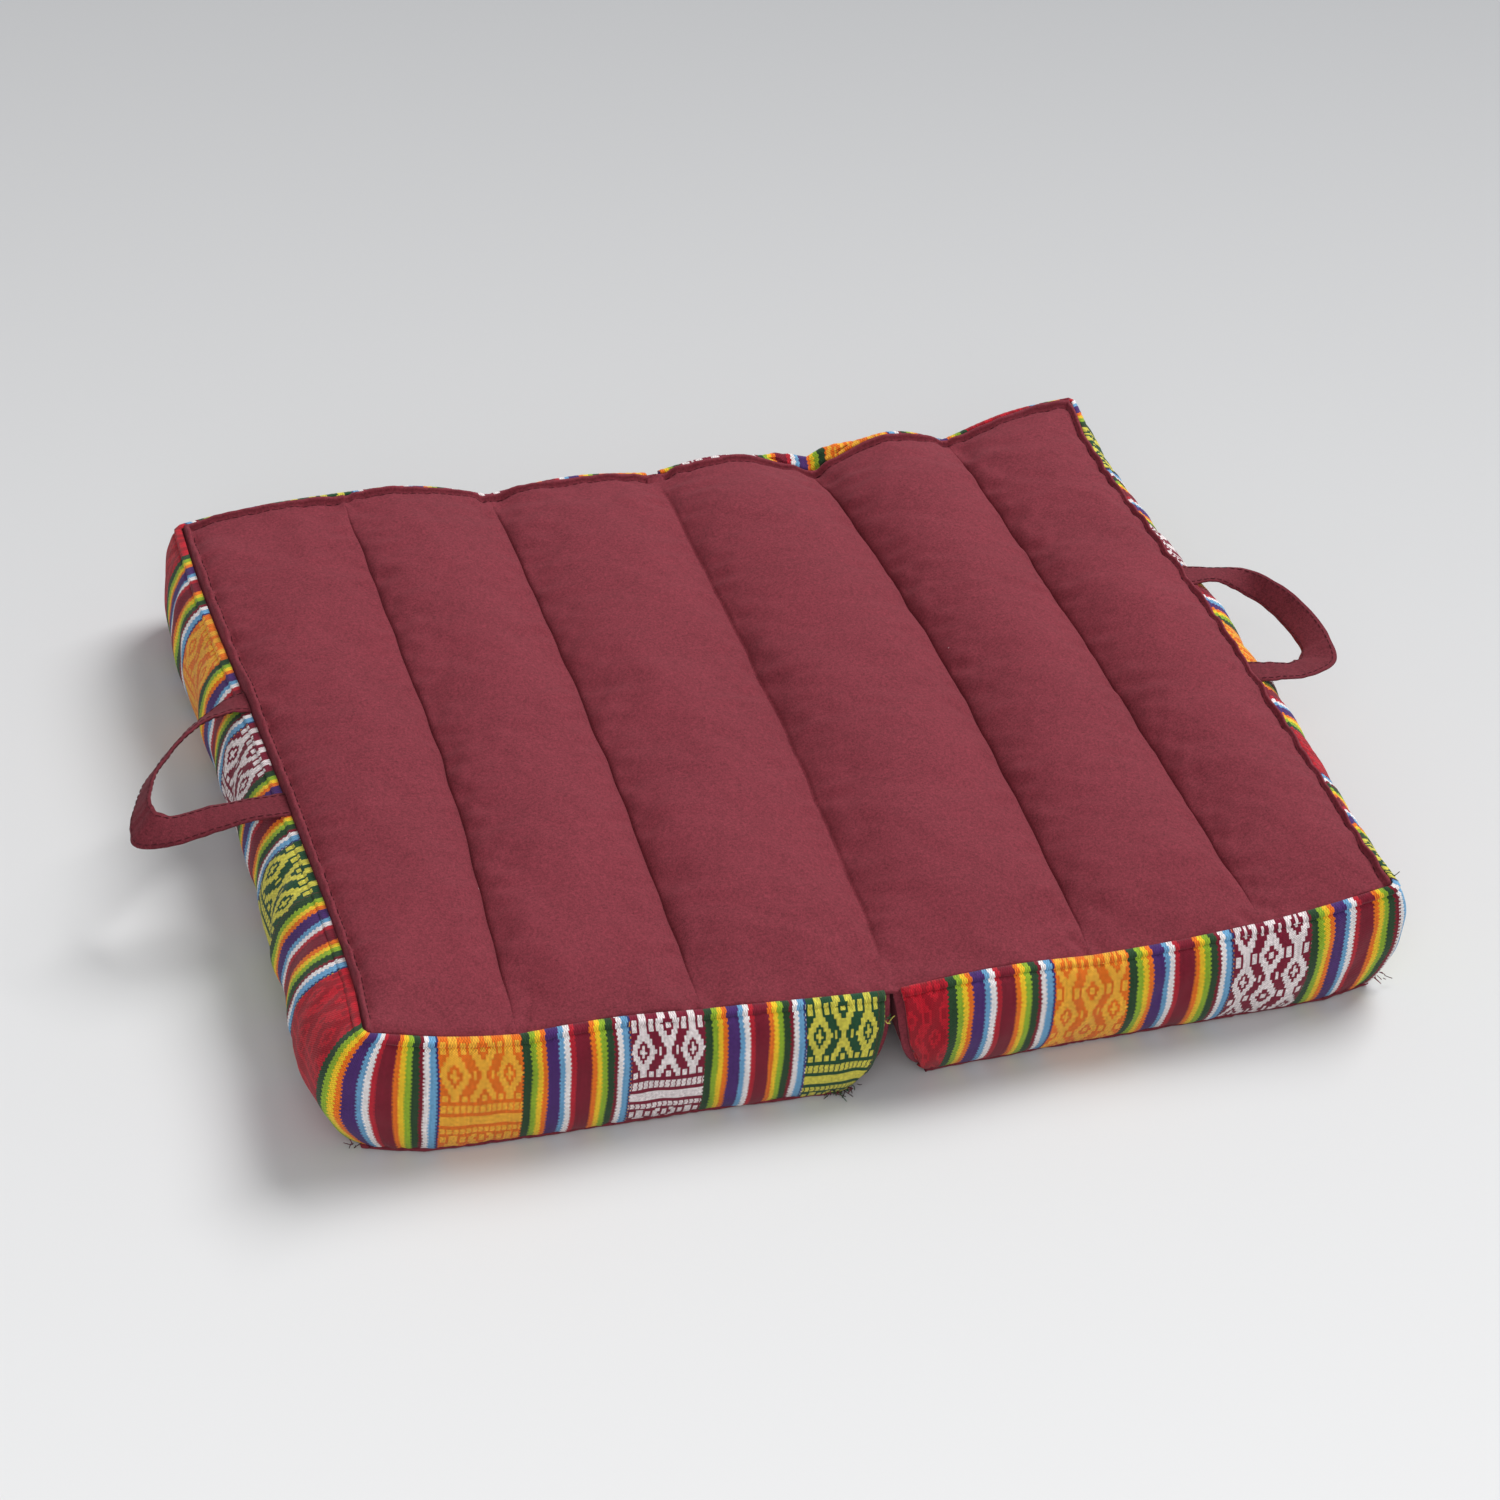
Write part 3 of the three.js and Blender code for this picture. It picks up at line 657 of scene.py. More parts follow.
@dataclass(frozen=True)
class PlainWeave:
    """Fine close weave of cotton: a tone near 1 that varies, with painted light and shade on its yarns, a height,
    and specks of lint.

    Each noise has its clouds a metre, its detail, and its shares of the tone and of the height.
    """

    pitch: float = 0.55
    yarn_shade_and_height: tuple[float, float] = (0.05, 0.3)
    noises: tuple[tuple[float, float, float, float], ...] = (
        (1500.0, 3.0, 1.1, 1.0), (800.0, 2.0, 0.8, 0.0), (210.0, 2.0, 0.2, 0.6), (24.0, 2.0, 0.2, 0.0),
    )
    lint_spacing: float = 26.0
    lint_size: float = 0.011

    def group(self) -> bpy.types.NodeTree:
        """Builds the node group once.

        Returns:
            The group's tree.
        """
        if "plain_weave" in bpy.data.node_groups:
            return bpy.data.node_groups["plain_weave"]
        tree, place, end = Group("plain_weave", (("Tone", "NodeSocketFloat"), ("Height", "NodeSocketFloat"),
                                                 ("Lint", "NodeSocketFloat"))).make()
        x, y, z = split(tree, place, 1000.0)
        across, along = x + z * 0.6, y + z * 0.8
        # The yarns' crossings lighten and darken the tone a little as painted light and shade, and raise and lower
        # the height.
        yarns = across.wave(self.pitch) * along.wave(self.pitch) * 0.5
        tone, height = yarns * self.yarn_shade_and_height[0] + 1.0, yarns * self.yarn_shade_and_height[1]
        for scale, detail, of_tone, of_height in self.noises:
            clouds = noise(tree, place, scale, detail) - 0.5
            tone, height = tone + clouds * of_tone, height + clouds * of_height
        dots = tree.nodes.new("ShaderNodeTexVoronoi")
        dots.inputs["Scale"].default_value = self.lint_spacing
        tree.links.new(place, dots.inputs["Vector"])
        lint = Signal(tree, dots.outputs["Distance"]).below(self.lint_size)
        for name, value in (("Tone", tone), ("Height", height), ("Lint", lint)):
            tree.links.new(value.socket, end.inputs[name])
        return tree


@dataclass(frozen=True)
class Cotton:
    """Matt cotton cloth, with its own colour."""

    name: str
    colour: Colour
    roughness: float = 0.88
    specular: float = 0.25
    sheen: float = 0.06
    sheen_roughness: float = 0.45
    sheen_tint: Colour = (0.9, 0.45, 0.5, 1.0)
    relief: float = 0.35
    relief_height: float = 0.0004
    lint: float = 0.6
    lint_colour: Colour = (0.55, 0.4, 0.42, 1.0)

    def material(self) -> bpy.types.Material:
        """Builds the material once.

        Returns:
            The material.
        """
        if self.name in bpy.data.materials:
            return bpy.data.materials[self.name]
        material = bpy.data.materials.new(self.name)
        material.use_nodes = True
        tree = material.node_tree
        place = tree.nodes.new("ShaderNodeTexCoord").outputs["Object"]
        weave = tree.nodes.new("ShaderNodeGroup")
        weave.node_tree = PlainWeave().group()
        tree.links.new(place, weave.inputs["Vector"])
        toned = mix(tree, 1.0, self.colour, grey(tree, weave.outputs["Tone"]), "MULTIPLY")
        lint = Signal(tree, weave.outputs["Lint"]) * self.lint
        set_cloth(tree, mix(tree, lint, toned, self.lint_colour), weave.outputs["Height"], {
            "Roughness": self.roughness, "Specular IOR Level": self.specular, "Sheen Weight": self.sheen,
            "Sheen Roughness": self.sheen_roughness, "Sheen Tint": self.sheen_tint,
        }, (self.relief, self.relief_height))
        return material


class Yarn(Enum):
    """Dyed yarns of the band, as screen colours."""

    DARK_GREEN = (42, 72, 44)
    LIME = (150, 184, 48)
    YELLOW = (250, 206, 44)
    ORANGE = (244, 120, 30)
    PURPLE = (78, 44, 112)
    SKY = (112, 170, 212)
    WHITE = (246, 240, 240)
    RED = (190, 34, 50)
    MAROON = (128, 26, 46)
    DARK_RED = (132, 24, 44)
    NAVY = (46, 52, 112)


@dataclass(frozen=True)
class Block:
    """One woven block: its ground, its figure and how clearly the figure shows."""

    ground: tuple[float, float, float]
    figure: tuple[float, float, float]
    clear: float


@dataclass(frozen=True)
class Diamond:
    """One woven diamond, by the distance across (off) and along (down) from its middle."""

    half: float = 5.2
    slope: float = 0.43
    neck: float = 1.4
    ring: tuple[float, float] = (2.9, 5.0)
    core: tuple[float, float] = (1.2, 2.5)
    dash_off: float = 6.6
    dash_half: float = 0.6
    dash_down: float = 2.0

    def figure(self, off: Signal, down: Signal) -> Signal:
        """1 on the figure's yarns.

        Args:
            off: Distance across.
            down: Distance along.

        Returns:
            1 on the figure.
        """
        outline = off.below((down * -self.slope + self.half).most(self.neck))
        ring = (off / self.ring[0] + down / self.ring[1]).below(1.0)
        core = (off / self.core[0] + down / self.core[1]).below(1.0)
        dash = (off - self.dash_off).size().below(self.dash_half) * down.below(self.dash_down)
        return (outline * (ring * -1.0 + 1.0)).most(core).most(dash)


@dataclass(frozen=True)
class StripedWeave:
    """Hand-woven band: blocks of small diamonds between warp stripes, along the cloth and down from its edge."""

    name: str = "band_weave"
    block: float = 30.0
    stripes: tuple[tuple[Yarn, float], ...] = (
        (Yarn.DARK_GREEN, 3.0), (Yarn.LIME, 2.3), (Yarn.YELLOW, 2.0), (Yarn.ORANGE, 2.0), (Yarn.PURPLE, 4.7),
        (Yarn.SKY, 2.0), (Yarn.WHITE, 2.4), (Yarn.RED, 2.0), (Yarn.MAROON, 6.0), (Yarn.ORANGE, 1.8),
        (Yarn.YELLOW, 2.0), (Yarn.LIME, 2.2), (Yarn.DARK_GREEN, 2.9), (Yarn.DARK_RED, 1.5), (Yarn.WHITE, 1.8),
        (Yarn.SKY, 2.5), (Yarn.NAVY, 1.1),
    )
    blocks: tuple[Block, ...] = (
        Block((130, 26, 52), (250, 240, 240), 1.0),
        Block((34, 78, 50), (232, 220, 84), 0.95),
        Block((196, 22, 42), (112, 8, 26), 0.55),
        Block((240, 118, 28), (254, 200, 66), 0.75),
    )
    under: tuple[float, float, float] = (120, 30, 40)
    diamond: Diamond = Diamond()
    end_pitch: float = 0.95
    pick_pitch: float = 0.9
    column: float = 20.0
    row: float = 21.0
    first_row: float = 13.6
    bars_from: float = 25.4
    bars_to: float = 42.6
    bars: tuple[tuple[float, float], ...] = ((28.6, 1.6), (34.4, 2.2), (39.9, 1.2))
    bar_pitch: float = 2.2
    figure_repeat: float = 131.0
    wander: tuple[float, float] = (0.7, 1.1)
    step_aside: float = 0.5
    # How round the yarns are, the floor of their painted shade, and the random spread of each yarn's dye
    roundness: float = 3.2
    least_shade: float = 0.3
    dye_spread: float = 0.12

    @property
    def period(self) -> float:
        """Length of one block and its stripes."""
        return self.block + sum(width for _, width in self.stripes)

    def chain(self, x: Signal, t: Signal, middle: float, start: float) -> Signal:
        """One upright chain of diamonds, joined tip to tip.

        Args:
            x: Place across the block, from its middle.
            t: Place down the cloth.
            middle: Where the chain stands.
            start: Where a diamond of it is.

        Returns:
            1 on the figure.
        """
        return self.diamond.figure(x.from_middle(self.column, middle), t.from_middle(self.row, start))

    def striping(self, tree: bpy.types.NodeTree, at: Signal) -> bpy.types.NodeSocket:
        """Colours of the warp stripes, by the place within a period.

        Args:
            tree: The tree that gets the node.
            at: Place within a period.

        Returns:
            The colour's socket.
        """
        stops, edge = [(0.0, linear(*self.under))], self.block
        for yarn, width in self.stripes:
            stops.append((edge / self.period, linear(*yarn.value)))
            edge += width
        return steps(tree, at / self.period, stops)

    def figure(self, s: Signal, pick: Signal, jag: Signal) -> Signal:
        """The blocks' figure: diamonds in three chains, with bars between groups of them.

        Args:
            s: Place along the cloth.
            pick: Number of the pick, down the cloth.
            jag: Whether a pick steps aside, -0.5 or 0.5.

        Returns:
            1 on the figure.
        """
        x = (((s.within(self.period) - self.block / 2) / self.end_pitch).floor() + 0.5) * self.end_pitch
        y = (pick + 0.5) * self.pick_pitch
        outer = self.chain(x, y, self.column / 2, self.first_row)
        lattice = outer.most(self.chain(x, y, 0.0, self.first_row + self.row / 2))
        zone = y.within(self.figure_repeat)
        parted = (s + jag * 0.3).within(self.bar_pitch).above(0.5)
        first, whole, last = ((zone - middle).size().below(half) for middle, half in self.bars)
        bars = (first * parted).most(whole).most(last * parted)
        in_bars = (zone - (self.bars_from + self.bars_to) / 2).size().below((self.bars_to - self.bars_from) / 2)
        return lattice * (in_bars * -1.0 + 1.0) + bars * in_bars

    def group(self) -> bpy.types.NodeTree:
        """Builds the weave's node group.

        Returns:
            The group's tree.
        """
        tree, place, end = Group("woven_band", (("Color", "NodeSocketColor"), ("Height", "NodeSocketFloat"))).make()
        s, t, _ = split(tree, place, 1000.0)
        uneven = noise(tree, place, 90.0, 2.0) - 0.5
        fine = noise(tree, place, 900.0, 2.0) - 0.5
        s, t = s + uneven * self.wander[0], t + uneven * self.wander[1]
        pick = (t / self.pick_pitch).floor()
        jag = (t / (2 * self.pick_pitch)).within(1.0).above(0.5) - 0.5
        at = (s + jag * self.step_aside + fine * 0.5).within(self.period)

        count = len(self.blocks)
        which = ((s / self.period).floor().within(float(count)) + 0.5) / count
        ground, figure, clear = (
            steps(tree, which, [(k / count, colour(b)) for k, b in enumerate(self.blocks)])
            for colour in (lambda b: linear(*b.ground), lambda b: linear(*b.figure),
                           lambda b: (b.clear, b.clear, b.clear, 1.0)))
        shown = self.figure(s, pick, jag)
        show = shown * (fine * 0.5 + 0.92) * Signal(tree, clear)
        blocks = mix(tree, show.least(1.0).most(0.0), ground, figure)
        in_block = at.below(self.block)
        colour = mix(tree, in_block, self.striping(tree, at), blocks)

        # Rounded yarns with a dip at each pick, neighbours staggered; their sides and dips darken the colour as
        # painted shade, while each yarn's dye and the noise vary its tone at random
        yarn = (s / (self.end_pitch / 2)).floor()
        side = (s / (self.end_pitch / 2)).within(1.0) - 0.5
        round_yarn = side * side * -self.roundness + 1.0
        odd = (yarn * 0.5).within(1.0)
        bead = (t / self.pick_pitch + odd).wave(1.0) * 0.5 + 0.5
        dye = tree.nodes.new("ShaderNodeTexWhiteNoise")
        dye.noise_dimensions = "1D"
        tree.links.new(yarn.socket, dye.inputs["W"])
        # Painted shade of the yarns' roundness and dips, plus random tone from the noise and each yarn's dye,
        # multiplies the colour
        shade = round_yarn * 0.42 + bead * 0.42 + self.least_shade + fine * 0.7 + uneven * 0.3
        shade = shade + Signal(tree, dye.outputs["Value"]) * self.dye_spread
        tree.links.new(mix(tree, 1.0, colour, grey(tree, shade.socket), "MULTIPLY"), end.inputs["Color"])
        height = round_yarn * 0.6 + bead * 0.7 + shown * in_block * 0.8 + fine * 0.7
        tree.links.new(height.socket, end.inputs["Height"])
        return tree

    def material(self) -> bpy.types.Material:
        """Builds the material once.

        Returns:
            The material.
        """
        if self.name in bpy.data.materials:
            return bpy.data.materials[self.name]
        material = bpy.data.materials.new(self.name)
        material.use_nodes = True
        tree = material.node_tree
        chart = tree.nodes.new("ShaderNodeUVMap")
        chart.uv_map = "cloth"
        weave = tree.nodes.new("ShaderNodeGroup")
        weave.node_tree = self.group()
        tree.links.new(chart.outputs[0], weave.inputs["Vector"])
        set_cloth(tree, weave.outputs["Color"], weave.outputs["Height"],
                  {"Roughness": 0.9, "Specular IOR Level": 0.2, "Sheen Weight": 0.12}, (0.55, 0.0003))
        return material


COVER = Cotton("cover_cloth", linear(123, 46, 57))
STRAP_CLOTH = Cotton("strap_cloth", linear(108, 38, 48), relief=0.5, lint=0.0)
THREAD = Cotton("seam_thread", linear(70, 20, 30), relief=0.1, lint=0.0)
WEAVE = StripedWeave()


def dress(piece: bpy.types.Object, material: bpy.types.Material, slot: str, *nodes: str) -> bpy.types.Object:
    """Gives a piece its material and body, and hides what it stands for.

    Args:
        piece: The piece.
        material: Its material.
        slot: Not used.
        nodes: Nodes of the frame that it stands for.

    Returns:
        The piece.
    """
    piece.data.materials.clear()
    piece.data.materials.append(material)
    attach(piece, "root")
    if nodes:
        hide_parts(*nodes)
    log.info("%s: %d faces", piece.name, len(piece.data.polygons))
    return piece


# Pieces
@dataclass(frozen=True)
class Crease:
    """A short gather in the top cloth, drawn from a seam's end."""

    seam: float
    front: bool
    aside: float
    turn: float
    length: float
    depth: float


def sampled(heights: np.ndarray, i: np.ndarray, j: np.ndarray) -> np.ndarray:
    """Smooth values between the points of an even net.

    Args:
        heights: The net's values.
        i: Places along its first way, in steps.
        j: Places along its second way, in steps.

    Returns:
        The value at each place.
    """
    total = np.zeros_like(i)
    bi = np.clip(i.astype(int), 0, heights.shape[0] - 2)
    bj = np.clip(j.astype(int), 0, heights.shape[1] - 2)

    def weights(t: np.ndarray) -> list[np.ndarray]:
        """Shares of the four nearest net lines."""
        return [0.5 * (-t + 2 * t ** 2 - t ** 3), 0.5 * (2 - 5 * t ** 2 + 3 * t ** 3),
                0.5 * (t + 4 * t ** 2 - 3 * t ** 3), 0.5 * (-t ** 2 + t ** 3)]

    for m, wi in enumerate(weights(i - bi)):
        for n, wj in enumerate(weights(j - bj)):
            row = np.clip(bi + m - 1, 0, heights.shape[0] - 1)
            column = np.clip(bj + n - 1, 0, heights.shape[1] - 1)
            total += wi * wj * heights[row, column]
    return total


@dataclass
class LooseCloth:
    """The top cloth, cut a little large, sewn down at rims and seams and let go over its filling."""

    side: Side
    columns: int = 15
    rows: int = 70
    slack: float = 0.045
    start_noise: float = 0.25
    quality: int = 6
    mass: float = 0.2
    damping: float = 2.0
    stretch: float = 12.0
    shear: float = 4.0
    bending: float = 0.02
    pressure: float = 0.6
    frames: int = 26
    cap: float = 3.6

    def settle(self) -> np.ndarray:
        """Lets the cloth settle.

        Returns:
            How far it rises over the smooth form, over an even net of 3 channels by the depth.
        """
        u, v = np.meshgrid(np.linspace(0, CHANNELS, CHANNELS * self.columns + 1),
                           np.linspace(0, 1, self.rows + 1), indexing="ij")
        base = FORM.top(u if self.side is Side.LEFT else 2 * CHANNELS - u, v)
        rng = np.random.default_rng(17 + self.side.value)
        start = base + np.stack([0 * u, 0 * u, rng.normal(0, self.start_noise, u.shape)], -1)
        ids = np.arange(u.size).reshape(u.shape)
        cloth = mesh_piece("loose_cloth", start.reshape(-1, 3), net(ids))
        sewn = cloth.vertex_groups.new(name="sewn")
        held = np.zeros(u.shape, bool)
        held[::self.columns] = held[:, [0, -1]] = True
        sewn.add(ids[held].tolist(), 1.0, "REPLACE")
        loose = cloth.modifiers.new("cloth", "CLOTH")
        how = loose.settings
        how.quality, how.mass, how.air_damping = self.quality, self.mass, self.damping
        how.tension_stiffness = how.compression_stiffness = self.stretch
        how.shear_stiffness, how.bending_stiffness = self.shear, self.bending
        how.use_pressure, how.uniform_pressure_force = True, self.pressure
        how.vertex_group_mass, how.shrink_min = "sewn", -self.slack
        how.effector_weights.gravity = 0.0
        loose.point_cache.frame_start, loose.point_cache.frame_end = 1, self.frames
        scene = bpy.context.scene
        for number in range(1, self.frames + 1):
            scene.frame_set(number)
        settled = cloth.evaluated_get(bpy.context.evaluated_depsgraph_get()).to_mesh()
        found = np.empty(u.size * 3, np.float32)
        settled.vertices.foreach_get("co", found)
        found = found.reshape(*u.shape, 3) / MM + MIDDLE
        scene.frame_set(1)
        bpy.data.objects.remove(cloth)
        rise = found[..., 2] - base[..., 2]
        for c in range(CHANNELS):
            strip = slice(c * self.columns + 1, (c + 1) * self.columns)
            rise[strip] -= rise[strip].mean(axis=1, keepdims=True)
        rise[held] = 0
        log.info("loose cloth %s: from %.2f to %.2f mm", self.side.name, rise.min(), rise.max())
        return self.cap * np.tanh(rise / self.cap)


@dataclass(frozen=True)
class Relief:
    """What the top cloth adds to its smooth form: rises, with their wavelengths and reaches."""

    settled: float = 0.3
    settled_by_seam: float = 0.5
    settled_reach: float = 12.0
    fullness: float = 8.5
    full_roundness: float = 0.45
    full_inset: float = 24.0
    seam_edge: float = 0.9
    seam_edge_reach: float = 2.0
    valley: float = 0.8
    valley_reach: float = 8.0
    lumps: tuple[tuple[float, float, float, int], ...] = ((1.0, 66, 16, 11), (0.3, 31, 12, 12))
    pucker: float = 1.1
    pucker_wave: float = 15.0
    pucker_slant: float = 0.25
    pucker_reach: float = 10.0
    pucker_seed: int = 40
    rim_pucker: float = 0.55
    rim_wave: float = 11.0
    rim_reach: float = 8.0
    crease_wander: float = 0.8
    crease_width: float = 1.7
    crease_bank: float = 0.45
    crease_bank_off: float = 4.0
    crease_bank_width: float = 2.6
    seam_sway: float = 0.5
    seam_wave: float = 44.0
    lip_sway: float = 0.22
    lip_wave: float = 34.0
    lip_grain: float = 0.07
    front_dip: float = 0.5


@dataclass
class Pad:
    """One filled pad: top cloth with three channels, its walls, and the flat bottom."""

    side: Side
    look: Relief = Relief()
    lip_lines: tuple[float, ...] = (1.7, 1.8, 2.15, 2.8, 3.45, 3.8, 4.3, 5.0, 6.0)
    lip_rise: tuple[float, ...] = (0.0, 1.5, 2.1, 2.3, 2.0, 1.1, -0.4, -0.6, -0.2)
    front_lines: tuple[float, ...] = (1.7, 2.2, 3.0, 4.2, 5.6, 7.0)
    foot_rows: tuple[tuple[float, float], ...] = ((-1.2, 2.1), (0.7, 1.9), (1.2, 1.3), (0.8, 0.6), (-2.6, 0.25))
    foot_inset: float = 8.0
    steps: int = 30
    step_along: float = 1.8
    fold_inset: float = 0.5
    wall_rows: int = 26
    fold_sway: tuple[tuple[float, float, int], ...] = ((0.9, 26, 81), (1.2, 60, 82))
    ragged: tuple[tuple[float, float, int], ...] = ((0.7, 5.5, 83), (0.6, 23, 84))
    under_seam: float = 2.2
    under_seam_width: float = 3.2
    under_soft: float = 0.12
    puckers: np.ndarray | None = None
    creases: tuple[Crease, ...] = (
        Crease(1, True, 2, 70, 26, 1.5), Crease(1, True, -3, 112, 18, 0.9),
        Crease(2, True, 3, 62, 24, 1.5), Crease(2, True, -2, 118, 16, 1.0),
        Crease(3, True, 5, 48, 22, 1.6), Crease(3, True, -5, 128, 16, 0.9),
        Crease(4, True, -2, 104, 26, 1.6), Crease(4, True, 3, 66, 14, 1.0),
        Crease(5, True, -3, 128, 20, 1.7), Crease(5, True, 3, 60, 16, 1.2),
        Crease(1, False, 2, -76, 22, 1.0), Crease(2, False, -2, -104, 26, 1.3),
        Crease(3, False, 4, -60, 24, 1.3), Crease(4, False, 2, -74, 22, 1.2),
        Crease(5, False, -2, -100, 20, 1.0),
    )

    def across(self) -> np.ndarray:
        """Net lines across, in channels from the outer rim.

        Returns:
            The lines, from the rim to the fold.
        """
        lines = [inset / CHANNEL_WIDTH for inset in self.lip_lines]
        for c in range(CHANNELS):
            for k in range(1, self.steps + 1):
                w = (1 - math.cos(math.pi * k / self.steps)) / 2
                if c > 0 or w > 0.11:
                    lines.append(c + w)
        lines[-1] -= self.fold_inset / CHANNEL_WIDTH
        return np.array(lines)

    def along(self) -> np.ndarray:
        """Net lines along, as shares of the depth.

        Returns:
            The lines, from front to back.
        """
        middle = np.arange(8.8, DEPTH - 7.4, self.step_along)
        back = [DEPTH - inset for inset in reversed(self.lip_lines)]
        return np.concatenate([self.front_lines, middle, back]) / DEPTH

    def place(self, u: np.ndarray) -> np.ndarray:
        """Channel place from the left rim, from channels from the outer rim."""
        return u if self.side is Side.LEFT else 2 * CHANNELS - u

    def gather(self, crease: Crease, x: np.ndarray, y: np.ndarray) -> np.ndarray:
        """Depth of one crease and the bank beside it, at each place.

        Args:
            crease: The crease.
            x: Places across.
            y: Places in depth.

        Returns:
            Depth to take off at each place.
        """
        look = self.look
        start = FORM.top(np.array([crease.seam]), np.array([0.0 if crease.front else 1.0]))[0]
        turn = math.radians(crease.turn)
        dx, dy = x - start[0] - crease.aside, y - start[1]
        along = dx * math.cos(turn) + dy * math.sin(turn)
        off = -dx * math.sin(turn) + dy * math.cos(turn) + look.crease_wander * np.sin(along / 4.0)
        reach = np.clip(along / 3, 0, 1) * np.clip(1 - along / crease.length, 0, 1)
        bank = look.crease_bank * bell(off - look.crease_bank_off, look.crease_bank_width)
        return crease.depth * reach * (bell(off, look.crease_width) - bank)

    def relief(self, a: np.ndarray, v: np.ndarray, points: np.ndarray) -> np.ndarray:
        """Folds and lumps of the top cloth.

        Args:
            a: Channel places.
            v: Shares of the depth.
            points: The points there.

        Returns:
            Height to add at each.
        """
        look = self.look
        x, y = points[..., 0], points[..., 1]
        w = a - np.floor(a)
        to_seam = np.minimum(w, 1 - w) * CHANNEL_WIDTH
        if self.puckers is None:
            self.puckers = LooseCloth(self.side).settle()
        u = np.clip(self.place(a), 0, CHANNELS)
        columns, rows = (count - 1 for count in self.puckers.shape)
        height = sampled(self.puckers, u / CHANNELS * columns, v * rows)
        height *= look.settled + look.settled_by_seam * np.exp(-to_seam / look.settled_reach)
        inset = np.minimum(u * CHANNEL_WIDTH, np.minimum(v, 1 - v) * DEPTH)
        arch = np.maximum(np.sin(np.pi * w), 0)
        fuller = arch ** look.full_roundness - arch ** FORM.crown_roundness
        height += look.fullness * fuller * np.clip(inset / look.full_inset, 0, 1)
        height += look.seam_edge * np.exp(-to_seam / look.seam_edge_reach)
        height -= look.valley * np.exp(-to_seam / look.valley_reach)
        for rise, size, reach, seed in look.lumps:
            height += rise * lumps(x, y, size, seed) * np.clip(to_seam / reach, 0, 1)
        half_channel = np.floor(a * 2).astype(int)
        pucker = np.zeros_like(x)
        for k in range(4 * CHANNELS):
            wave = ripple(y + look.pucker_slant * to_seam, look.pucker_wave, look.pucker_seed + k)
            pucker = np.where(half_channel == k, wave, pucker)
        height += look.pucker * pucker * beside(to_seam, look.pucker_reach)
        for rim, line, seed in ((v * DEPTH, x, 61), ((1 - v) * DEPTH, x, 62),
                                (np.minimum(a, 2 * CHANNELS - a) * CHANNEL_WIDTH, y, 63)):
            height += look.rim_pucker * ripple(line, look.rim_wave, seed) * beside(rim, look.rim_reach)
        for crease in self.creases:
            height -= self.gather(crease, x, y)
        return height

    def top(self, u: np.ndarray, v: np.ndarray) -> np.ndarray:
        """Points of the top net, with the standing lip at the outer and back rims.

        Args:
            u: Channels from the outer rim.
            v: Shares of the depth.

        Returns:
            Points.
        """
        look, a = self.look, self.place(u)
        points = FORM.top(a, v)
        points[..., 2] += self.relief(a, v, points)
        seam_near = np.cos(np.pi * (a - np.round(a))) ** 2 * np.clip(np.minimum(a, 2 * CHANNELS - a) / 0.6, 0, 1)
        number = np.round(a).astype(int)
        for k in range(1, 2 * CHANNELS):
            sway = ripple(points[..., 1], look.seam_wave, 130 + k) * np.clip(np.minimum(v, 1 - v) / 0.05, 0, 1)
            points[..., 0] += np.where(number == k, look.seam_sway * sway * seam_near, 0)
        from_outer, from_back = u * CHANNEL_WIDTH, (1 - v) * DEPTH
        inset = np.minimum(from_outer, from_back)
        sway = ripple(np.where(from_outer < from_back, points[..., 1], points[..., 0]), look.lip_wave, 71)
        lift = np.interp(inset, self.lip_lines, self.lip_rise, right=0.0)
        points[..., 2] += lift * (1 + look.lip_sway * sway)
        grain = ripple(points[..., 0] + points[..., 1], 7, 72)
        points[..., 2] += np.where(inset < 4.0, look.lip_grain * grain, 0)
        points[..., 2] -= look.front_dip * bell(v * DEPTH - self.front_lines[0], 1.2)
        return points

    def ring(self, ni: int, nj: int) -> np.ndarray:
        """Net numbers (i, j) round the outline, counter-clockwise for the right pad.

        Args:
            ni: Net lines across.
            nj: Net lines along.

        Returns:
            The numbers, one pair a row.
        """
        back = [(i, nj - 1) for i in range(ni - 1, 0, -1)]
        outer = [(0, j) for j in range(nj - 1, 0, -1)]
        front = [(i, 0) for i in range(ni - 1)]
        fold = [(ni - 1, j) for j in range(nj - 1)]
        return np.array(back + outer + front + fold)

    def outline(self, u: np.ndarray, v: np.ndarray, ring: np.ndarray) -> Places:
        """Places of the outline at net numbers.

        Args:
            u: Net lines across.
            v: Net lines along.
            ring: The net numbers.

        Returns:
            The places.
        """
        i, j = ring[:, 0], ring[:, 1]
        on_outer, on_fold = i == 0, i == len(u) - 1
        on_front, on_back = j == 0, j == len(v) - 1
        return Places(np.where(on_outer, 0.0, u[i]), np.where(on_front, 0.0, np.where(on_back, 1.0, v[j])),
                      on_outer, on_fold, on_front, on_back)

    def wall_points(self, at: Places, under: np.ndarray, out: np.ndarray) -> list[np.ndarray]:
        """Rows of points down the walls and round the foot's turned edge.

        Args:
            at: The places of the outline.
            under: The foot of the band's outer face at each.
            out: The level way out at each.

        Returns:
            The rows, from the rim to the floor.
        """
        run = lengths(FORM.top(self.place(at.u), at.v)[:, :2])
        bare = at.on_fold & ~(at.on_front | at.on_back)
        rows = []
        for row in np.linspace(0.12, 6, self.wall_rows):
            points, normal = FORM.wall(self.side, at, np.full(len(run), row), PAD_INSET)
            sway = sum(size * ripple(run, wave, seed) for size, wave, seed in self.fold_sway)
            points += normal * (sway * bare * math.sin(math.pi * min(1, row / 5)))[:, None]
            rows.append(points)
        ragged = sum(size * ripple(run, wave, seed) for size, wave, seed in self.ragged)
        for reach, z in self.foot_rows:
            points = under + out * (reach + (ragged * 0.6 if reach > 0 else 0 * run))[:, None]
            points[:, 2] = z + (0.25 * ragged if 0.5 < z < 2 else 0 * run)
            rows.append(points)
        return rows

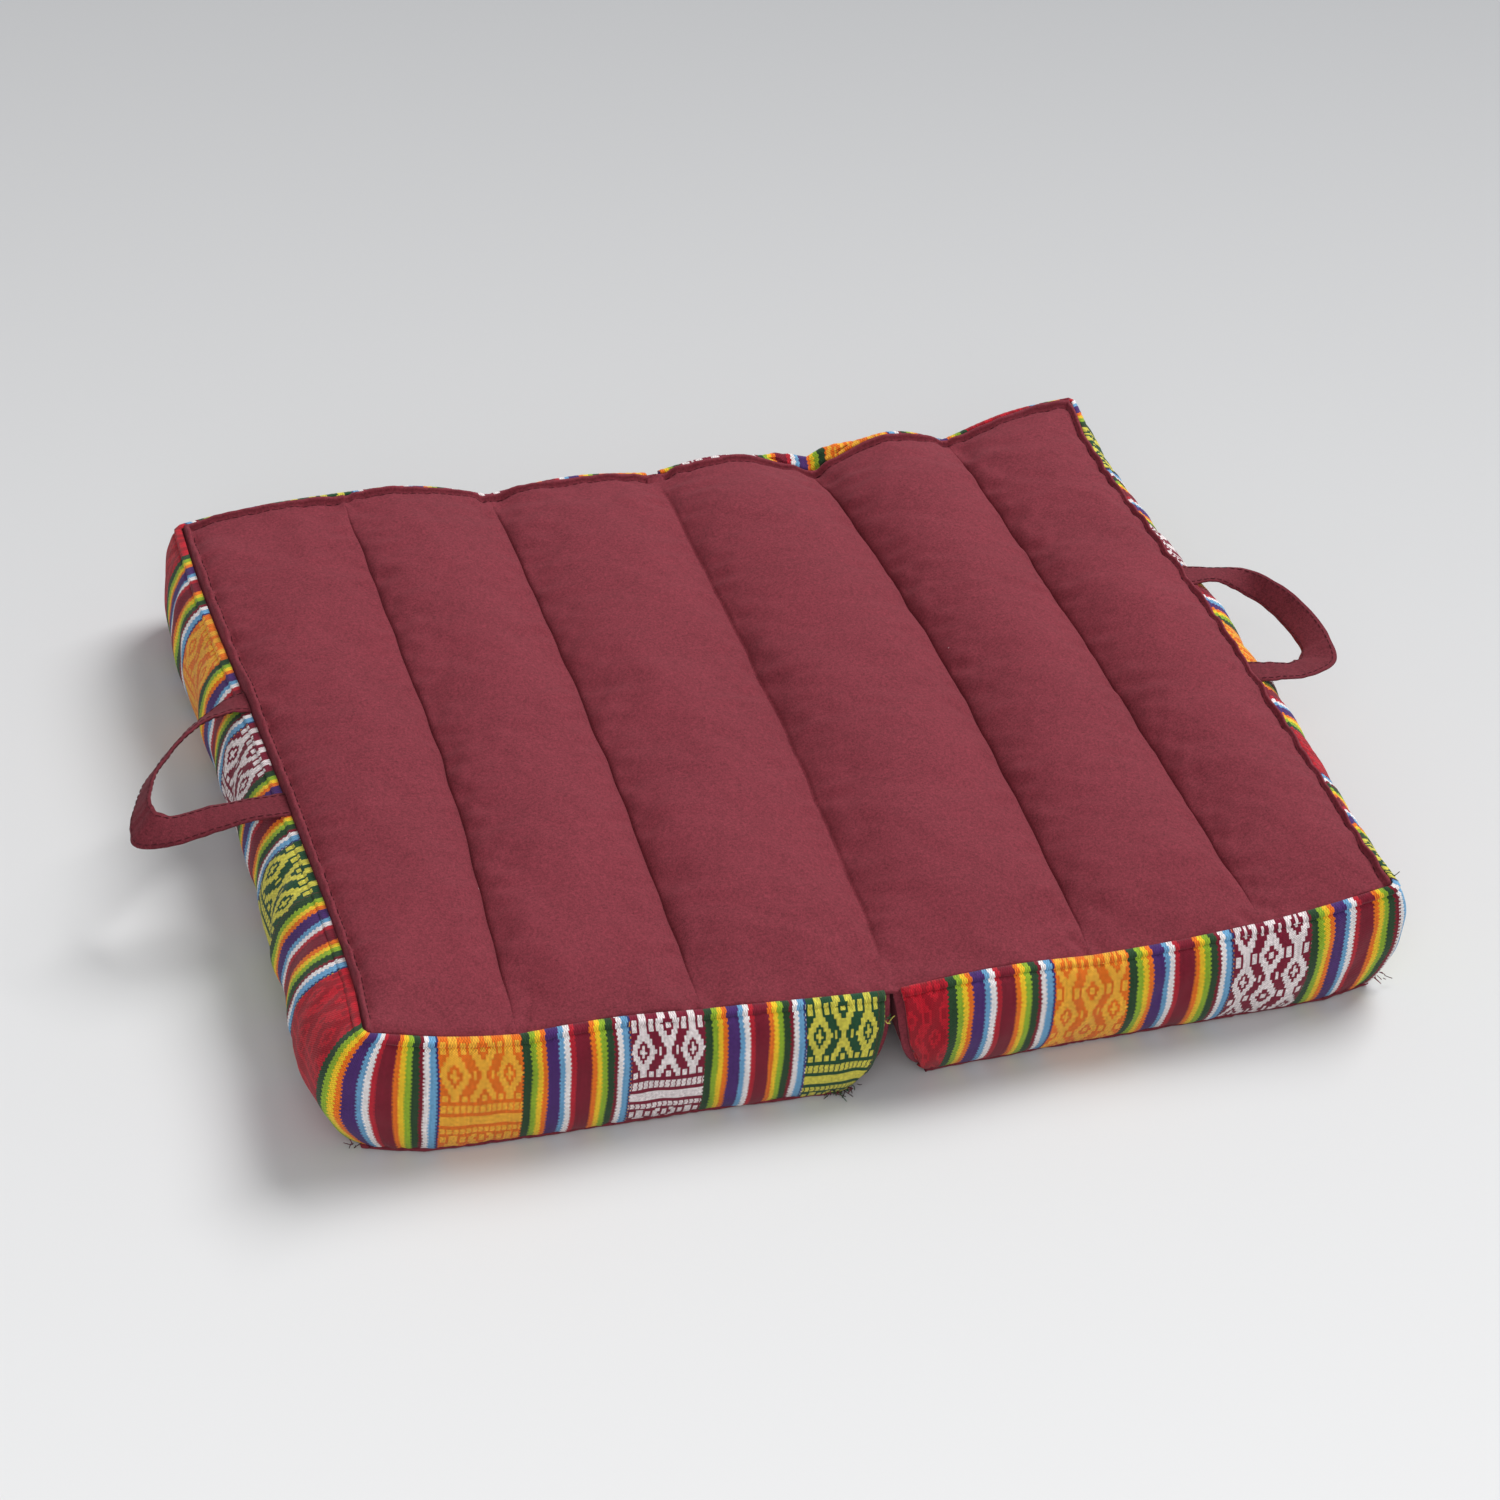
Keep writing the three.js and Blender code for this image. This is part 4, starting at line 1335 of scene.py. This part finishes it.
    def bottom(self, u: np.ndarray, v: np.ndarray, top: np.ndarray, shift: np.ndarray) -> np.ndarray:
        """Points of the bottom net: the top's, drawn in to the foot and laid flat.

        Args:
            u: Channels from the outer rim, of each net point.
            v: Shares of the depth, of each net point.
            top: The top net's points.
            shift: How far each outline point of the net moves, level.

        Returns:
            The bottom net's points.
        """
        su, sv = np.linspace(0, 1, len(u))[:, None, None], v[:1, :, None]
        left, right, near, far = shift[:1], shift[-1:], shift[:, :1], shift[:, -1:]
        corners = ((1 - su) * (1 - sv) * shift[:1, :1] + su * (1 - sv) * shift[-1:, :1]
                   + (1 - su) * sv * shift[:1, -1:] + su * sv * shift[-1:, -1:])
        points = top.copy()
        points[..., :2] += (1 - su) * left + su * right + (1 - sv) * near + sv * far - corners
        w = u - np.round(u)
        edge = np.minimum(np.minimum(u, CHANNELS - u) * CHANNEL_WIDTH, np.minimum(v, 1 - v) * DEPTH)
        seams = self.under_seam * bell(w * CHANNEL_WIDTH, self.under_seam_width) * np.clip((edge - 14) / 12, 0, 1)
        soft = self.under_soft * (1 + lumps(points[..., 0], points[..., 1], 40, 21)) * np.clip(edge / 20, 0, 1)
        points[..., 2] = seams + soft
        return points

    def build(self) -> bpy.types.Object:
        """Builds the padded cover and dresses it.

        Returns:
            The piece.
        """
        u, v = self.across(), self.along()
        ni, nj = len(u), len(v)
        grid_u, grid_v = np.meshgrid(u, v, indexing="ij")
        top = self.top(grid_u, grid_v)
        ring = self.ring(ni, nj)
        at, ids = self.outline(u, v, ring), (ring[:, 0], ring[:, 1])
        foot, normal = FORM.wall(self.side, at, np.full(len(ring), 6.0), 0.0)
        out = np.stack([normal[:, 0], normal[:, 1], np.zeros(len(ring))], -1)
        out /= np.maximum(np.linalg.norm(out, axis=1, keepdims=True), 1e-6)
        rows = self.wall_points(at, foot, out)
        shift = np.zeros((ni, nj, 2))
        shift[ids] = (foot - out * self.foot_inset)[:, :2] - top[ids][:, :2]
        bottom = self.bottom(grid_u, grid_v, top, shift)
        points = [top.reshape(-1, 3), *rows, bottom.reshape(-1, 3)]
        top_ids = np.arange(ni * nj).reshape(ni, nj)
        wall_ids = ni * nj + np.arange(len(rows) * len(ring)).reshape(len(rows), len(ring))
        bottom_ids = ni * nj + len(rows) * len(ring) + top_ids
        walls = np.vstack([top_ids[ids][None], wall_ids, bottom_ids[ids][None]])
        quads = np.vstack([net(top_ids), net(walls, closed=True), net(bottom_ids)[:, ::-1]])
        name = f"{self.side.name.lower()}_pad"
        piece = mesh_piece(f"{name}_cover", np.vstack(points), quads)
        face_outwards(piece)
        dress(piece, COVER.material(), "maroon_cotton", name)
        return piece


@dataclass
class Band:
    """The woven boxing band round three sides of a pad."""

    side: Side
    block_places: tuple[tuple[float, float], ...]
    first_block: int
    down: float
    thick: float = 1.2
    step: float = 1.5
    end_inset: float = 2.8
    seam_depth: float = 2.5
    stitch: float = 3.4
    roll: float = 0.95
    groove: float = 1.35
    pull: float = 0.25
    pucker: float = 0.55
    swells: tuple[tuple[float, float], ...] = ((0.9, 46), (0.45, 19))
    hem: float = 0.5
    end_narrowing: float = 0.24
    top_drop: float = 0.6
    top_rows: tuple[float, ...] = (0, 0.05, 0.1, 0.15, 0.2, 0.26, 0.32, 0.38, 0.45, 0.52, 0.6, 0.7, 0.8, 0.9)

    def outline(self) -> Places:
        """Places from the fold's back corner round the outer side to its front corner.

        Returns:
            The places.
        """
        end = CHANNELS - self.end_inset / CHANNEL_WIDTH
        start = PAD_INSET / CHANNEL_WIDTH
        n = int(CHANNELS * CHANNEL_WIDTH / self.step)
        m = int(DEPTH / self.step)
        u_line = np.linspace(end, start, n)
        v_line = np.linspace(1 - PAD_INSET / DEPTH, PAD_INSET / DEPTH, m)
        u = np.concatenate([u_line, np.zeros(m), u_line[::-1]])
        v = np.concatenate([np.ones(n), v_line, np.zeros(n)])
        kind = np.concatenate([np.full(n, 0), np.full(m, 1), np.full(n, 2)])
        on_fold = np.zeros(len(u), bool)
        on_fold[[0, -1]] = True
        return Places(u, v, kind == 1, on_fold, kind == 2, kind == 0)

    def lay(self) -> tuple[np.ndarray, np.ndarray, np.ndarray, np.ndarray]:
        """Lays the band's outer face.

        Returns:
            Points and normals by row and place, length along the top edge from the fold's front corner, and
            length down from that edge.
        """
        at = self.outline()
        rows = np.concatenate([self.top_rows, np.arange(1.02, 6.01, 0.13), [6.0]])
        from_fold = (CHANNELS - np.where(at.on_outer, 0, at.u)) * CHANNEL_WIDTH
        rounding = 1 - self.end_narrowing * bell(from_fold, 8)
        laid = [FORM.wall(self.side, at, row * rounding) for row in rows]
        points, normals = np.stack([p for p, _ in laid]), np.stack([n for _, n in laid])
        points[..., 2] -= self.top_drop * np.clip(1 - rows / 0.3, 0, 1)[:, None]
        along = lengths(points[4])
        along = along[-1] - along
        down = np.concatenate([np.zeros((1, len(along))), np.cumsum(
            np.linalg.norm(np.diff(points, axis=0), axis=2), axis=0)])
        return points, normals, along, down

    def relief(self, along: np.ndarray, down: np.ndarray) -> np.ndarray:
        """How far the cloth stands off its smooth form.

        Args:
            along: Length along the band.
            down: Length down from its top edge.

        Returns:
            Distance along the normal.
        """
        seed = 90 if self.side is Side.LEFT else 95
        roll = self.roll * bell(down - 1.1, 0.95)
        groove = -self.groove * bell(down - self.seam_depth, 0.7)
        pull = self.pull * np.cos(2 * np.pi * along / self.stitch) * bell(down - self.seam_depth, 1.6)
        fading = np.exp(-np.maximum(down - self.seam_depth, 0) / 7) * (down > 2)
        pucker = self.pucker * ripple(along + 0 * down, 10, seed) * fading
        (wide, wide_wave), (short, short_wave) = self.swells
        soft = wide * ripple(along, wide_wave, seed + 1) + short * ripple(along + 0.5 * down, short_wave, seed + 2)
        soft = soft * (np.clip(down / 10, 0, 1) * np.clip((54 - down) / 16, 0, 1))
        hem = self.hem * ripple(along, 8, seed + 3) * np.clip((down - 44) / 8, 0, 1)
        return roll + groove + pull + pucker + soft + hem

    def chart(self, points: np.ndarray, along: np.ndarray) -> np.ndarray:
        """Place on the cloth's length, with each woven block where it was sewn.

        Args:
            points: The band's points, by row and place.
            along: Length along its top edge.

        Returns:
            Length along the cloth at each place.
        """
        girth = lengths(points[points.shape[0] // 2])
        girth = girth[-1] - girth
        places, count = (np.array(column) for column in zip(*self.block_places))
        known = np.interp(places, along[::-1], girth[::-1])
        cloth = (self.first_block + self.side.value * count) * WEAVE.period + WEAVE.block / 2
        before = cloth[0] + (girth - known[0]) * (cloth[1] - cloth[0]) / (known[1] - known[0])
        after = cloth[-1] + (girth - known[-1]) * self.side.value
        place = np.interp(girth, known, cloth)
        return np.where(girth < known[0], before, np.where(girth > known[-1], after, place))

    def build(self) -> bpy.types.Object:
        """Builds the band with its place on the cloth, and dresses it.

        Returns:
            The piece.
        """
        points, normals, along, down = self.lay()
        points = points + normals * (self.relief(along[None], down) - 0.1)[..., None]
        points[0] -= normals[0] * 0.9
        uv = np.stack([self.chart(points, along)[None] + 0 * down, down + self.down], -1) * MM
        count = points.shape[1]
        ids = np.arange(points.shape[0] * count).reshape(-1, count)
        quads = net(ids)
        if self.side is Side.RIGHT:
            quads = quads[:, ::-1]
        name = f"{self.side.name.lower()}_band"
        piece = mesh_piece(f"{name}_cloth", points.reshape(-1, 3), quads, uv.reshape(-1, 2))
        shell = piece.modifiers.new("thickness", "SOLIDIFY")
        shell.thickness, shell.offset = self.thick * MM, -1.0
        dress(piece, WEAVE.material(), "striped_weave", name)
        return piece


@dataclass
class FoldStrip:
    """The top cloth that goes down into the fold and hinges the pads."""

    pad: Pad
    other: Pad
    half: float = 3.9
    slit: float = 0.004
    rise: float = 0.1
    droop: float = 0.5
    flat_width: float = 0.01
    thick: float = 1.3
    steps: int = 220

    def build(self) -> bpy.types.Object:
        """Builds the strip and dresses it.

        Returns:
            The piece.
        """
        v = np.linspace(0.0, 0.994, self.steps)
        offsets = np.linspace(-self.half, self.half, 11)
        across = offsets / CHANNEL_WIDTH
        inside = CHANNELS + np.where(across < 0, np.minimum(across, -self.slit), np.maximum(across, self.slit))
        from_outer = np.minimum(inside, 2 * CHANNELS - inside)
        left, right = (np.stack([pad.top(np.full(len(v), u), v) for u in from_outer], 1)
                       for pad in (self.pad, self.other))
        cloth = np.where((inside > CHANNELS)[None, :, None], right, left)
        up = np.array([0, 0, 1.0])
        rise = (self.rise - self.droop * np.abs(offsets / self.half) ** 3)[:, None] * up
        piece = flat_tube("fold_strip_cloth", cloth + rise, cloth + (rise - self.thick * up))
        dress(piece, COVER.material(), "maroon_cotton", "fold_strip")
        return piece


@dataclass(frozen=True)
class Station:
    """A place along a strap: its middle, the way its outer edge points, how far that rises, and the width."""

    x: float
    y: float
    z: float
    turn: float
    tilt: float
    width: float


@dataclass
class Handle:
    """A strap handle of folded cloth, sewn in at the middle of an outer rim."""

    side: Side
    roots: tuple[tuple[float, float], tuple[float, float]]
    stations: tuple[Station, ...]
    thick: float = 1.5
    stitched: float = 0.78
    stitch_rows: float = 0.8
    bow: float = 0.5
    crinkle: float = 0.16
    groove: float = 0.22
    rows: int = 200
    softness: int = 9

    def placed(self) -> list[Station]:
        """All stations, with the roots put on the rim.

        Returns:
            The stations, from root to root.
        """
        found = []
        for y, turn in self.roots:
            v = np.linspace(0, 1, 2000)
            rim = FORM.top(np.full(2000, 0.0 if self.side is Side.LEFT else 2.0 * CHANNELS), v)
            near = rim[np.argmin(np.abs(rim[:, 1] - y))]
            found.append(Station(near[0] - self.side.value * 1.1, near[1], near[2] + 0.65, turn, 0, STRAP_WIDTH))
        return [found[0], *self.stations, found[1]]

    def spine(self) -> tuple[np.ndarray, np.ndarray, np.ndarray, np.ndarray]:
        """The strap's middle line and its axes.

        Returns:
            Middles, the ways across and off the face, and half widths.
        """
        placed = self.placed()
        knots = np.array([[s.x, s.y, s.z] for s in placed])
        index = np.arange(len(placed), dtype=float)
        at = np.linspace(0, len(placed) - 1, self.rows)
        middle = np.stack([np.interp(at, index, knots[:, k]) for k in range(3)], -1)
        soft = np.ones(self.softness) / self.softness
        for _ in range(2):
            eased = np.stack([np.convolve(np.pad(middle[:, k], self.softness // 2, "edge"), soft, "valid")
                              for k in range(3)], -1)
            middle[1:-1] = eased[1:-1]
        turn = np.radians(through(index, [s.turn for s in placed], at))
        tilt = np.radians(through(index, [s.tilt for s in placed], at))
        half = through(index, [s.width for s in placed], at) / 2
        across = np.stack([np.cos(turn) * np.cos(tilt), np.sin(turn) * np.cos(tilt), np.sin(tilt)], -1)
        face = np.cross(across, np.gradient(middle, axis=0))
        face /= np.linalg.norm(face, axis=1, keepdims=True)
        return middle, across, face, half

    def build(self) -> list[bpy.types.Object]:
        """Builds the strap and its two stitch rows.

        Returns:
            The strap and its stitching.
        """
        middle, across, face, half = self.spine()
        length = float(np.linalg.norm(np.diff(middle, axis=0), axis=1).sum())
        run = np.linspace(0, length, self.rows)
        flats = np.linspace(-1, 1, 11)
        def bow(share: np.ndarray) -> np.ndarray:
            """How far the strap bends off its middle plane, at shares of its half width."""
            return (self.bow * ripple(run, 40, 51)[:, None] * (1 - share ** 2)
                    + self.crinkle * ripple(run, 8, 52)[:, None])

        rim = np.minimum(1.0, (1 - np.abs(flats)) / 0.12 + 0.35)
        rims = rim * (1 - self.groove * bell(np.abs(flats) - self.stitched, 0.07))
        edge = 1 + 0.015 * ripple(run, 12, 53)[:, None]
        level = middle[:, None] + across[:, None] * (flats * half[:, None] * edge)[..., None]
        upper, lower = (level + face[:, None] * (bow(flats[None]) + sign * rims * self.thick / 2)[..., None]
                        for sign in (1, -1))
        name = f"{self.side.name.lower()}_handle"
        piece = flat_tube(f"{name}_strap", upper, lower)
        dress(piece, STRAP_CLOTH.material(), "maroon_strap", name)
        lines = []
        for share in (-self.stitch_rows, self.stitch_rows):
            for sign in (-1, 1):
                lines.append(middle + across * (share * half)[:, None] + face * (sign * self.thick * 0.5)
                             + face * bow(np.array([share])))
        sewn = Stitches(f"{name}_stitching", 2.6, 0.7, 0.17).build(lines)
        return [piece, sewn]


@dataclass
class Stitches:
    """Rows of machine stitches, each a short rounded length of thread."""

    name: str
    length: float = 2.9
    gap: float = 0.6
    radius: float = 0.24

    def build(self, lines: list[np.ndarray]) -> bpy.types.Object:
        """Sews along lines.

        Args:
            lines: Points of each line.

        Returns:
            The stitching.
        """
        work = bmesh.new()
        for line in lines:
            run = lengths(line)
            start = self.gap
            while start + self.length < run[-1]:
                ends = [Vector([np.interp(d, run, line[:, k]) - MIDDLE[k] for k in range(3)]) * MM
                        for d in (start, start + self.length)]
                way = ends[1] - ends[0]
                turn = way.to_track_quat("Z", "Y").to_matrix().to_4x4()
                size = Matrix.Diagonal((self.radius * MM, self.radius * MM, way.length / 2, 1))
                bmesh.ops.create_uvsphere(work, u_segments=6, v_segments=5, radius=1.0,
                                          matrix=Matrix.Translation((ends[0] + ends[1]) / 2) @ turn @ size)
                start += self.length + self.gap
        for each in work.faces:
            each.smooth = True
        mesh = bpy.data.meshes.new(self.name)
        work.to_mesh(mesh)
        work.free()
        return dress(put(self.name, mesh), THREAD.material(), "maroon_cotton")


@dataclass
class Sewing:
    """The seams' stitches: along the band's front edge, beside the lips, and down the channels."""

    pads: dict[Side, Pad]
    bands: dict[Side, Band]
    lip_seam: float = 4.6
    sunk: float = 0.12

    def front(self, side: Side) -> np.ndarray:
        """Line of stitches just under the band's top edge, along the front.

        Args:
            side: Which pad's band.

        Returns:
            Points of the line.
        """
        band = self.bands[side]
        points, normals, along, down = band.lay()
        points = points + normals * (band.relief(along[None], down) + 0.12)[..., None]
        row = np.argmin(np.abs(down - band.seam_depth), axis=0)
        return points[row, np.arange(points.shape[1])][band.outline().on_front]

    def build(self) -> list[bpy.types.Object]:
        """Sews all seams.

        Returns:
            The pieces of stitching.
        """
        made = []
        for side, pad in self.pads.items():
            name = side.name.lower()
            made.append(Stitches(f"{name}_front_stitching").build([self.front(side)]))
            inset_u, inset_v = self.lip_seam / CHANNEL_WIDTH, self.lip_seam / DEPTH
            outer = pad.top(np.full(320, inset_u), np.linspace(0.02, 1 - inset_v, 320))
            back = pad.top(np.linspace(inset_u, 2.97, 240), np.full(240, 1 - inset_v))
            made.append(Stitches(f"{name}_lip_stitching", radius=0.2).build([outer, back]))
            seams = [pad.top(np.full(300, float(c)), np.linspace(0.012, 0.984, 300)) - np.array([0, 0, self.sunk])
                     for c in range(1, CHANNELS)]
            made.append(Stitches(f"{name}_channel_stitching", radius=0.22).build(seams))
        return made


@dataclass(frozen=True)
class Fray:
    """A tuft of loose yarn at a corner."""

    side: Side
    u: float
    v: float
    row: float
    colours: tuple[tuple[int, int, int], ...]
    count: int
    length: float


@dataclass
class Frays:
    """Loose yarns where the band was cut at its corners."""

    seed: int = 5
    radius: float = 0.16
    points: int = 8
    spread: tuple[float, float, float] = (3.2, 0.8, 0.8)
    curl: float = 1.4
    least_height: float = 0.3
    tufts: tuple[Fray, ...] = (
        Fray(Side.RIGHT, 0.0, 0.0, 5.2, ((112, 30, 48), (60, 20, 32), (90, 30, 50)), 18, 2.0),
        Fray(Side.LEFT, 2.8, 0.0, 5.7, ((30, 84, 52), (60, 40, 40), (128, 40, 60)), 48, 2.8),
        Fray(Side.LEFT, 2.93, 0.0, 1.4, ((226, 214, 98), (30, 84, 52)), 6, 2.5),
        Fray(Side.RIGHT, 0.02, 0.02, 0.4, ((210, 208, 90), (150, 188, 58), (60, 60, 40)), 14, 2.2),
        Fray(Side.LEFT, 0.03, 0.0, 5.9, ((92, 26, 44), (60, 20, 32)), 12, 1.8),
    )

    def yarn(self, curve: bpy.types.Curve, tuft: Fray, base: np.ndarray, normal: np.ndarray,
             rng: np.random.Generator) -> None:
        """Lays one loose yarn.

        Args:
            curve: The curve that gets it.
            tuft: Its tuft.
            base: Where the tuft stands.
            normal: The way out there.
            rng: The tufts' seeded draws.
        """
        spline = curve.splines.new("POLY")
        spline.points.add(self.points - 1)
        way = normal + rng.normal(0, 0.75, 3)
        way[2] = -abs(way[2]) * 0.5 if tuft.row > 1 else abs(way[2])
        way /= np.linalg.norm(way)
        spot = base + rng.normal(0, 1, 3) * np.array(self.spread)
        bend = rng.normal(0, 0.9, 3)
        for k in range(self.points):
            reach = tuft.length * rng.uniform(0.9, 1.1) * k / (self.points - 1)
            point = spot + way * reach + bend * (reach / tuft.length) ** 2 * self.curl
            point[2] = max(point[2], self.least_height)
            spline.points[k].co = (*((point - MIDDLE) * MM), 1)

    def build(self) -> list[bpy.types.Object]:
        """Lays every loose yarn.

        Returns:
            The tufts.
        """
        rng = np.random.default_rng(self.seed)
        made = []
        for number, tuft in enumerate(self.tufts):
            at = Places(*(np.array([value]) for value in (
                tuft.u, tuft.v, tuft.u < 0.01, tuft.u > 2.9, tuft.v < 0.01, False)))
            base, normal = FORM.wall(tuft.side, at, np.array([tuft.row]))
            for shade, colour in enumerate(tuft.colours):
                curve = bpy.data.curves.new(f"fray_{number}_{shade}", "CURVE")
                curve.dimensions, curve.bevel_depth, curve.bevel_resolution = "3D", self.radius * MM, 1
                for _ in range(max(1, tuft.count // len(tuft.colours))):
                    self.yarn(curve, tuft, base[0], normal[0], rng)
                holder = put(curve.name, curve)
                mesh = bpy.data.meshes.new_from_object(holder)
                bpy.data.objects.remove(holder)
                yarn = Cotton(f"yarn_{number}_{shade}", linear(*colour), relief=0.1, lint=0.0)
                made.append(dress(put(curve.name, mesh), yarn.material(), "striped_weave"))
        return made


# Studio
@dataclass(frozen=True)
class Lamp:
    """A soft square light: where it stands and its side, in metres, and its power, in watts."""

    name: str
    at: tuple[float, float, float]
    size: float
    power: float


@dataclass
class Studio:
    """Pale floor, soft lights and the camera."""

    azimuth: float = -22.156
    elevation: float = 39.396
    roll: float = 6.470
    focal: float = 3732.5
    image: float = 1500.0
    sensor: float = 36.0
    target: tuple[float, float, float] = (-1.96, -0.58, 25.0)
    distance: float = 1553.8
    lamps: tuple[Lamp, ...] = (
        Lamp("key", (2.5, 1.5, 3.7), 2.4, 205), Lamp("fill", (-1.6, -3.9, 3.3), 4.0, 85),
    )
    # Painted shade on the floor: its slope to the right and to the back, its middle, its steepness, and the colours
    # at the front and, darker, at the back
    floor_painted_shade: tuple[float, float, float] = (0.37, 0.93, 0.42)
    floor_painted_shade_steepness: float = 0.55
    floor_front: Colour = (0.88, 0.88, 0.88, 1)
    floor_back: Colour = (0.3, 0.305, 0.315, 1)
    sky: Colour = (0.97, 0.98, 1.0, 1)
    sky_strength: float = 0.36

    def axes(self) -> tuple[np.ndarray, np.ndarray, np.ndarray]:
        """The camera's right, up and forward.

        Returns:
            The three directions.
        """
        a, e, r = (math.radians(x) for x in (self.azimuth, self.elevation, self.roll))
        forward = np.array([-math.sin(a) * math.cos(e), math.cos(a) * math.cos(e), -math.sin(e)])
        right = np.array([math.cos(a), math.sin(a), 0])
        up = np.cross(right, forward)
        return (right * math.cos(r) + up * math.sin(r), up * math.cos(r) - right * math.sin(r), forward)

    def camera(self) -> None:
        """Places the camera."""
        right, up, forward = self.axes()
        at = (np.array(self.target) - forward * self.distance - MIDDLE) * MM
        data = bpy.data.cameras.new("camera")
        data.sensor_width, data.sensor_fit = self.sensor, "HORIZONTAL"
        data.lens = self.focal / self.image * self.sensor
        data.clip_end = 50
        camera = put("camera", data)
        turn = np.stack([right, up, -forward], 1)
        camera.matrix_world = Matrix([[*turn[k], at[k]] for k in range(3)] + [[0, 0, 0, 1]])
        bpy.context.scene.camera = camera

    def light(self, lamp: Lamp) -> None:
        """Adds one soft light that looks at the cushion.

        Args:
            lamp: The light.
        """
        data = bpy.data.lights.new(lamp.name, "AREA")
        data.shape, data.size, data.energy = "SQUARE", lamp.size, lamp.power
        made = put(lamp.name, data)
        made.location = lamp.at
        made.rotation_euler = (Vector((0, 0, 0.02)) - Vector(lamp.at)).to_track_quat("-Z", "Y").to_euler()

    def floor(self) -> None:
        """Lays the floor, with painted shade that darkens it towards the back and the right."""
        work = bmesh.new()
        bmesh.ops.create_grid(work, x_segments=1, y_segments=1, size=6.0)
        mesh = bpy.data.meshes.new("floor")
        work.to_mesh(mesh)
        work.free()
        floor = put("floor", mesh)
        material = bpy.data.materials.new("pale_floor")
        material.use_nodes = True
        tree = material.node_tree
        x, y, _ = split(tree, tree.nodes.new("ShaderNodeTexCoord").outputs["Object"])
        # Painted shade: the floor darkens from its front colour to its back colour towards the back and the right
        of_x, of_y, middle = self.floor_painted_shade
        back = (y * of_y + x * of_x) * self.floor_painted_shade_steepness + middle
        colour = mix(tree, back.most(0.0).least(1.0), self.floor_front, self.floor_back)
        shader = tree.nodes["Principled BSDF"]
        tree.links.new(colour, shader.inputs["Base Color"])
        shader.inputs["Roughness"].default_value = 0.7
        shader.inputs["Specular IOR Level"].default_value = 0.1
        mesh.materials.append(material)

    def build(self) -> None:
        """Sets the whole studio."""
        self.camera()
        self.floor()
        for lamp in self.lamps:
            self.light(lamp)
        world = bpy.data.worlds.new("studio")
        world.use_nodes = True
        background = world.node_tree.nodes["Background"]
        background.inputs[0].default_value, background.inputs[1].default_value = self.sky, self.sky_strength
        bpy.context.scene.view_settings.view_transform = "Standard"
        bpy.context.scene.world = world


LEFT_HANDLE = Handle(Side.LEFT, ((37, 92), (-28, 268)), (
    Station(-215, 36.4, 54.4, 98, -22, 13.5), Station(-228.4, 29.4, 52.8, 120, -48, 12.6),
    Station(-241.8, 16.9, 51.1, 148, -60, 11.6), Station(-253.3, 2, 50, 169, -59, 12.1),
    Station(-259.5, -13.6, 49.5, 185, -52, 13), Station(-260.1, -25.4, 49.5, 216, -40, 16.2),
    Station(-249.6, -29.8, 50.6, 261, -18, 13.5), Station(-234.4, -28.3, 52.8, 267, -10, 13.5),
    Station(-218.2, -27.6, 54.5, 268, 1, 13.5),
))
RIGHT_HANDLE = Handle(Side.RIGHT, ((38.5, 90), (-29.3, -90)), (
    Station(220.9, 39.2, 53.9, 75, -9, 12.6), Station(232.6, 36, 52.2, 55, 20, 11.6),
    Station(240.5, 28.2, 51.1, 39, 53, 11.9), Station(245.3, 16.8, 51.1, 27, 50, 12.9),
    Station(247.9, 2, 51.1, 12, 43, 13.5), Station(248.6, -11.1, 50.6, -3, 34, 13.5),
    Station(244.6, -23.4, 50, -36, 16, 16.7), Station(231.9, -28.6, 51.1, -85, 10, 13.5),
    Station(221.3, -29.4, 53.4, -92, 6, 13.5),
))

# Each woven block's middle: length along the band's top edge from the fold's front corner, and how many blocks on
LEFT_BLOCKS = ((17.5, 0), (86.5, 1), (157.5, 2), (208.5, 2.79), (228, 3), (302, 4), (376, 5), (448, 6), (520, 7),
               (592, 8), (664, 9))
RIGHT_BLOCKS = ((2, 0), (78.5, 1), (155, 2), (228, 3), (298, 4), (370, 5), (442, 6), (514, 7), (586, 8), (658, 9),
                (730, 10))


def main() -> None:
    """Builds the studio and every piece in order."""
    Studio().build()
    pads = {side: Pad(side) for side in Side}
    bands = {Side.LEFT: Band(Side.LEFT, LEFT_BLOCKS, 13, 0.0), Side.RIGHT: Band(Side.RIGHT, RIGHT_BLOCKS, 14, 53.5)}
    for side in Side:
        pads[side].build()
        bands[side].build()
    FoldStrip(pads[Side.LEFT], pads[Side.RIGHT]).build()
    LEFT_HANDLE.build()
    RIGHT_HANDLE.build()
    Sewing(pads, bands).build()
    Frays().build()


if __name__ == "__main__":
    main()
